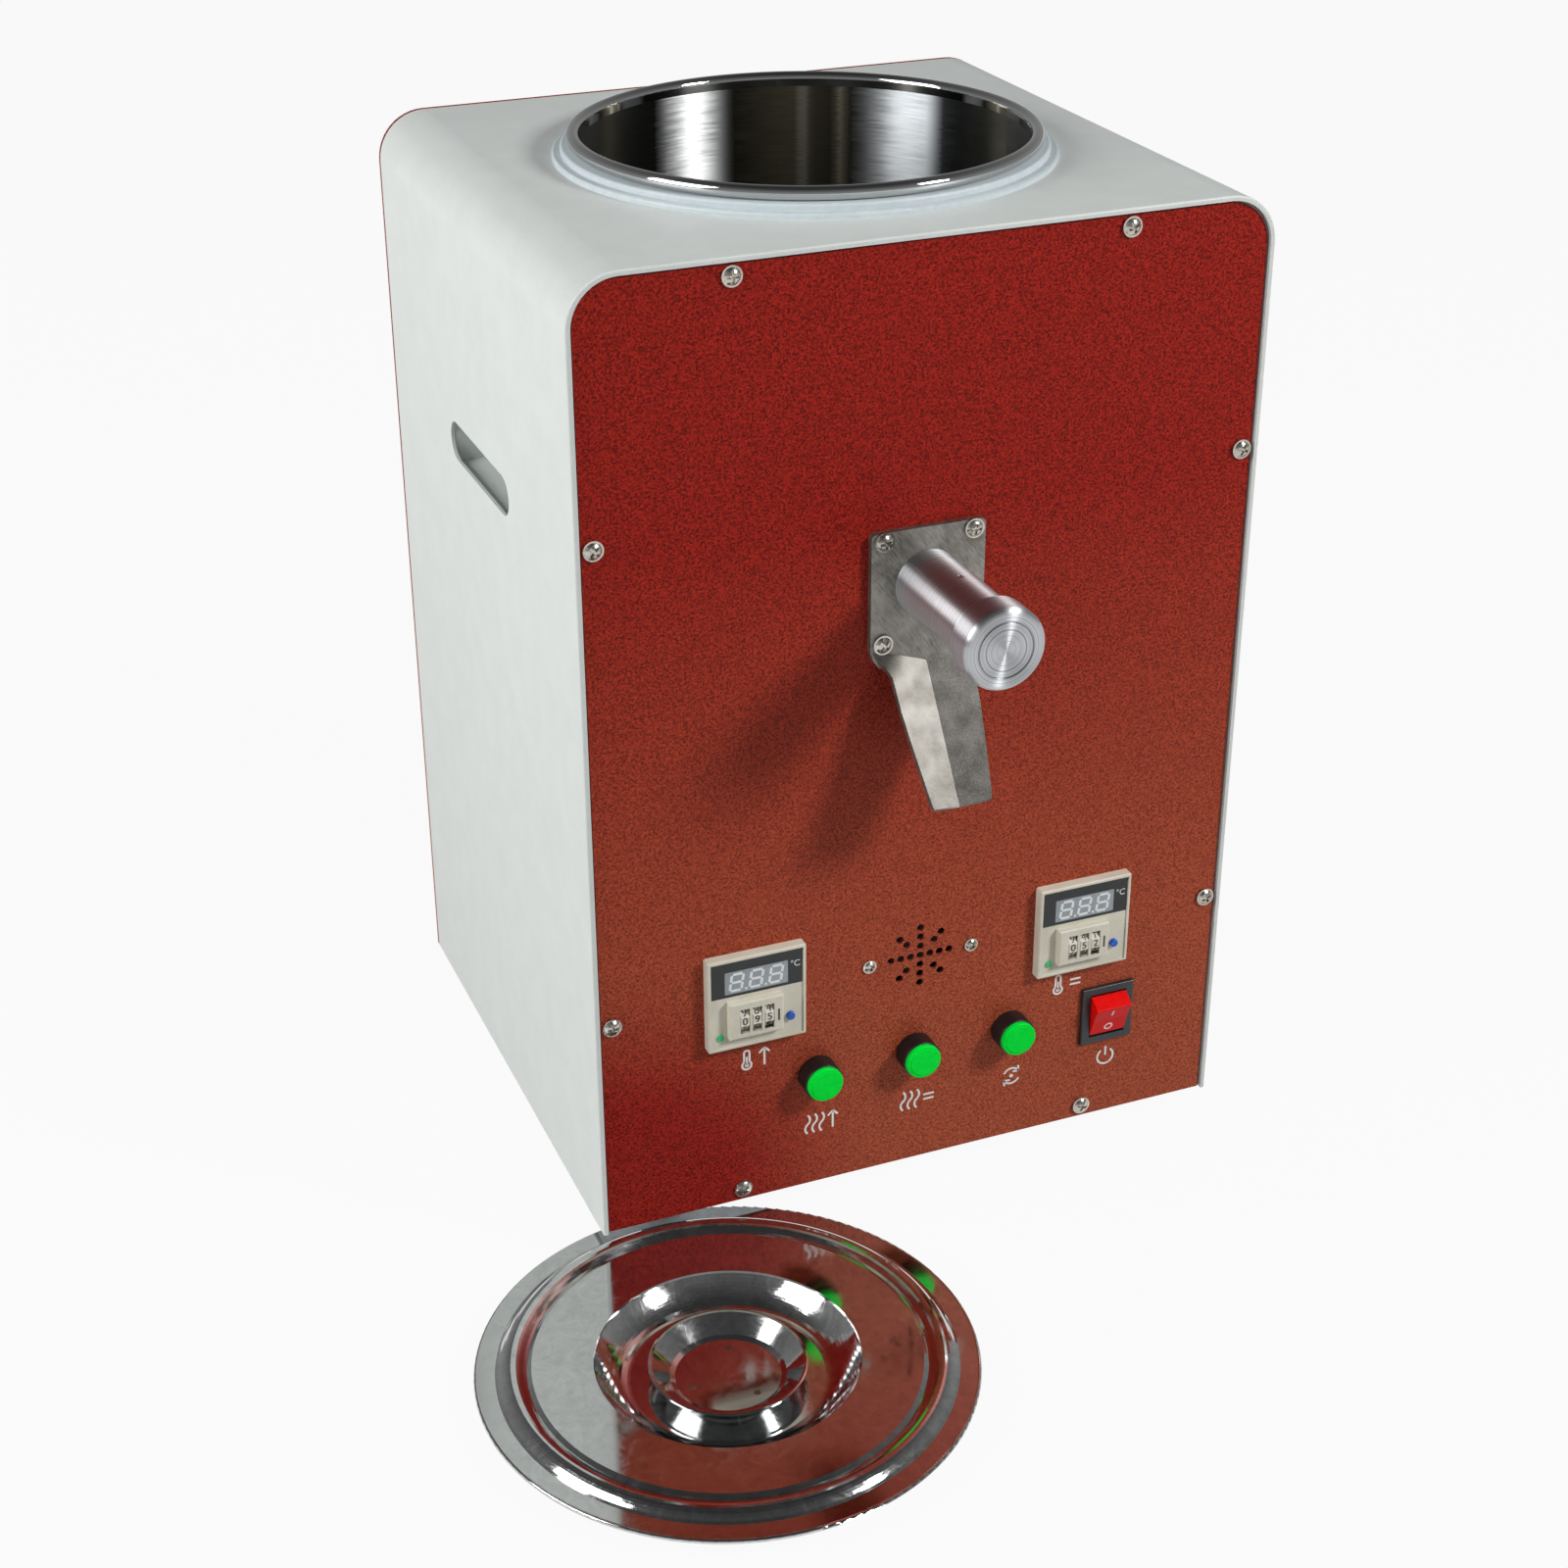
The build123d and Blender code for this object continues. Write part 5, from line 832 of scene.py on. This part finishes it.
class MESH_OT_agar_displays(bpy.types.Operator):
    """Adds each controller's unlit number display, its degree sign and the mark beside its wheels"""
    bl_idname = "mesh.agar_displays"
    bl_label = "Displays"
    plate_thickness = 0.04 * MM
    ink_thickness = 0.03 * MM

    def execute(self, context):
        # Diffusing film behind the window: milky grey when unlit.
        film = grained("diffusing polyester film, grey", "#A3ABB1", "#8F979D", 2.0, (0.4, 0.5), 0.01)
        # Unlit segments: pale windows in the grey mask.
        pale = grained("unlit segments, pale", "#F1F4F5", "#E2E6E8", 1.5, (0.35, 0.45), 0.01)
        # Pad-printed ink: a thin, dense film on the plastic.
        dark = grained("pad-printed ink, dark", "#3A3428", "#2A261D", 0.8, (0.4, 0.5), 0.01)
        plate = thickened("heating_display_plate", [bar(29.8 * MM, 11.2 * MM, corner=0.04)],
                          self.plate_thickness)
        segments = thickened("heating_display_segments", self.segments(), self.ink_thickness)
        degree = thickened("heating_degree_sign", [letters("°C", 4.4 * MM)], self.ink_thickness)
        mark = thickened("heating_wheel_mark", [bar(0.9 * MM, 6.0 * MM)], self.ink_thickness)
        # Each piece, its millimetres across and up from the controller's middle, how far forward what
        # it lies on stands, and its finish.
        lying = (
            (plate, (-0.2, 10.9), self.window_front, film, "controller_window"),
            (segments, (-0.2, 10.9), self.plate_front, pale, "controller_window"),
            (degree, (18.2, 14.0), self.window_front, pale, "controller_window"),
            (mark, (8.8, -7.9), self.block_front, dark, "controller_plastic"),
        )
        for first, (across, up), front, finish, slot in lying:
            second = copied(first, first.name.replace("heating", "holding"))
            for item, name in ((first, "heating"), (second, "holding")):
                case = middle(f"{name}_controller_case")
                stand(item, (case.x + across * MM, front(name), case.z + up * MM))
                hand_over(item, finish, "cabinet")
        return {"FINISHED"}

    def window_front(self, name):
        """How far forward the window stands: its lens, the lowest part, is left out."""
        mesh = nodes[f"{name}_controller_window"].data
        level = middle(f"{name}_controller_case").z
        return min(vertex.co.y for vertex in mesh.vertices if vertex.co.z > level)

    def plate_front(self, name):
        """How far forward the display's plate stands."""
        return self.window_front(name) - self.plate_thickness

    def block_front(self, name):
        """How far forward the block round the wheels stands."""
        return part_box(f"{name}_controller_case")[0].y

    def segments(self):
        """Three slanted figures of seven segments each, with a point after the first two."""
        lean = math.radians(8)
        pitch, rise, side, stroke = 9.3 * MM, 4.1 * MM, 2.75 * MM, 1.25 * MM
        slant = math.tan(lean)
        levels = [(row * rise * slant, row * rise, 0.0) for row in (-1, 0, 1)]
        uprights = [(way * side + row * rise / 2 * slant, row * rise / 2, -lean)
                    for way in (-1, 1) for row in (-1, 1)]
        figure = merged([*laid(bar(4.6 * MM, stroke), *levels), *laid(bar(stroke, 3.3 * MM), *uprights)])
        points = laid(bar(1.1 * MM, 1.1 * MM), (-4.9 * MM, -rise, 0.0), (4.4 * MM, -rise, 0.0))
        return laid(figure, *((place * pitch, 0.0, 0.0) for place in (-1, 0, 1))) + points


class MESH_OT_agar_wheel_digits(bpy.types.Operator):
    """Prints the digits 0 to 9 round each digit wheel"""
    bl_idname = "mesh.agar_wheel_digits"
    bl_label = "Wheel digits"
    facet_turn = math.radians(36.0)
    digit_height = 5.2 * MM
    foil_thickness = 0.03 * MM

    def execute(self, context):
        settings = context.scene.agar_signs
        wheels = ("hundreds", "tens", "units")
        shown = {}
        for name, digits in (("heating", settings.heating_digits), ("holding", settings.holding_digits)):
            if len(digits) != len(wheels) or not digits.isdecimal():
                raise RuntimeError(f"the {name} setting is not three digits")
            shown.update({f"{name}_{wheel}": int(digit) for wheel, digit in zip(wheels, digits)})
        # Hot-stamped black foil, pressed a little into the nylon.
        foil = grained("hot-stamped foil, black", "#24211B", "#171511", 0.5, (0.35, 0.45), 0.005)
        first, *others = shown
        rounds = [self.digits_round(f"{first}_digits", f"{first}_wheel")]
        rounds += [copied(rounds[0], f"{body}_digits") for body in others]
        for item, (body, digit) in zip(rounds, shown.items()):
            item.matrix_world = (Matrix.Translation(middle(f"{body}_wheel"))
                                 @ Matrix.Rotation(-self.facet_turn * digit, 4, "X"))
            settle(item)
            hand_over(item, foil, body)
        return {"FINISHED"}

    def digits_round(self, name, wheel):
        """Ten digits round the origin, as they lie on a wheel's facets, with 0 facing the front."""
        reach = self.flat_reach(wheel)
        parts = []
        for digit in range(10):
            item = thickened(f"digit_{digit}", [letters(str(digit), self.digit_height)],
                             self.foil_thickness)
            item.matrix_world = (Matrix.Rotation(self.facet_turn * digit, 4, "X")
                                 @ Matrix.Translation((0.0, -reach, 0.0))
                                 @ Matrix.Rotation(math.pi / 2, 4, "X"))
            settle(item)
            parts.append(item)
        item = merged(parts)
        item.name = item.data.name = name
        return item

    def flat_reach(self, wheel):
        """How far the wheel's front facet lies from its axis."""
        axis = middle(wheel)
        facet_half = 1.9 * MM
        near = [axis.y - vertex.co.y for vertex in nodes[wheel].data.vertices
                if abs(vertex.co.z - axis.z) < facet_half and vertex.co.y < axis.y]
        if not near:
            raise RuntimeError(f"{wheel} has no front facet")
        return max(near)


class MESH_OT_agar_rocker_marks(bpy.types.Operator):
    """Prints the line and the ring on the rocker"""
    bl_idname = "mesh.agar_rocker_marks"
    bl_label = "Rocker marks"

    def execute(self, context):
        # The rocker's pivot stands in front of the panel, and its dished face in front of the pivot.
        pivot_out, face_out, tilt, dish = 0.9 * MM, 4.613 * MM, math.radians(21.5), math.radians(3.0)
        ink_thickness = 0.05 * MM
        # Pad-printed white ink on clear red plastic.
        ink = grained("pad-printed ink, white", "#F6F1EE", "#E9E2DE", 0.8, (0.35, 0.45), 0.01)
        pivot = Vector((middle("rocker").x, PANEL_FRONT - pivot_out, middle("rocker_switch_body").z))
        line = thickened("rocker_line", [bar(0.85 * MM, 3.6 * MM)], ink_thickness)
        ring = thickened("rocker_ring", [arc(1.85 * MM, 0.8 * MM, 0, 360, 32)], ink_thickness)
        for item, along in ((line, 5.2 * MM), (ring, -4.8 * MM)):
            rise = face_out + abs(along) * math.tan(dish)
            place = pivot + Vector((0.0, -rise * math.cos(tilt) - along * math.sin(tilt),
                                    -rise * math.sin(tilt) + along * math.cos(tilt)))
            stand(item, place, lean=tilt + math.copysign(dish, along))
            hand_over(item, ink, "power_rocker")
        return {"FINISHED"}


class VIEW3D_PT_agar_machine(bpy.types.Panel):
    bl_label = "Agar machine"
    bl_space_type = "VIEW_3D"
    bl_region_type = "UI"
    bl_category = "Agar machine"

    def draw(self, context):
        for operator in OPERATORS:
            self.layout.operator(operator.bl_idname)
        for group in ("agar_stage", "agar_colours", "agar_signs"):
            settings = getattr(context.scene, group)
            for name in settings.__annotations__:
                self.layout.prop(settings, name)


OPERATORS = (
    SCENE_OT_agar_stage, SCENE_OT_agar_cabinet_finish, SCENE_OT_agar_pot_finish, SCENE_OT_agar_tap_finish,
    SCENE_OT_agar_lid_finish, SCENE_OT_agar_control_finish, MESH_OT_agar_signs, MESH_OT_agar_displays,
    MESH_OT_agar_wheel_digits, MESH_OT_agar_rocker_marks,
)
CLASSES = (StageSizes, FinishColours, SignSizes, *OPERATORS, VIEW3D_PT_agar_machine)


def register():
    for item in CLASSES:
        bpy.utils.register_class(item)
    bpy.types.Scene.agar_stage = PointerProperty(type=StageSizes)
    bpy.types.Scene.agar_colours = PointerProperty(type=FinishColours)
    bpy.types.Scene.agar_signs = PointerProperty(type=SignSizes)


def unregister():
    del bpy.types.Scene.agar_signs
    del bpy.types.Scene.agar_colours
    del bpy.types.Scene.agar_stage
    for item in reversed(CLASSES):
        bpy.utils.unregister_class(item)


def main():
    register()
    bpy.ops.scene.agar_stage()
    bpy.ops.scene.agar_cabinet_finish()
    bpy.ops.scene.agar_pot_finish()
    bpy.ops.scene.agar_tap_finish()
    bpy.ops.scene.agar_lid_finish()
    bpy.ops.scene.agar_control_finish()
    bpy.ops.mesh.agar_signs()
    bpy.ops.mesh.agar_displays()
    bpy.ops.mesh.agar_wheel_digits()
    bpy.ops.mesh.agar_rocker_marks()


if __name__ == "__main__":
    main()
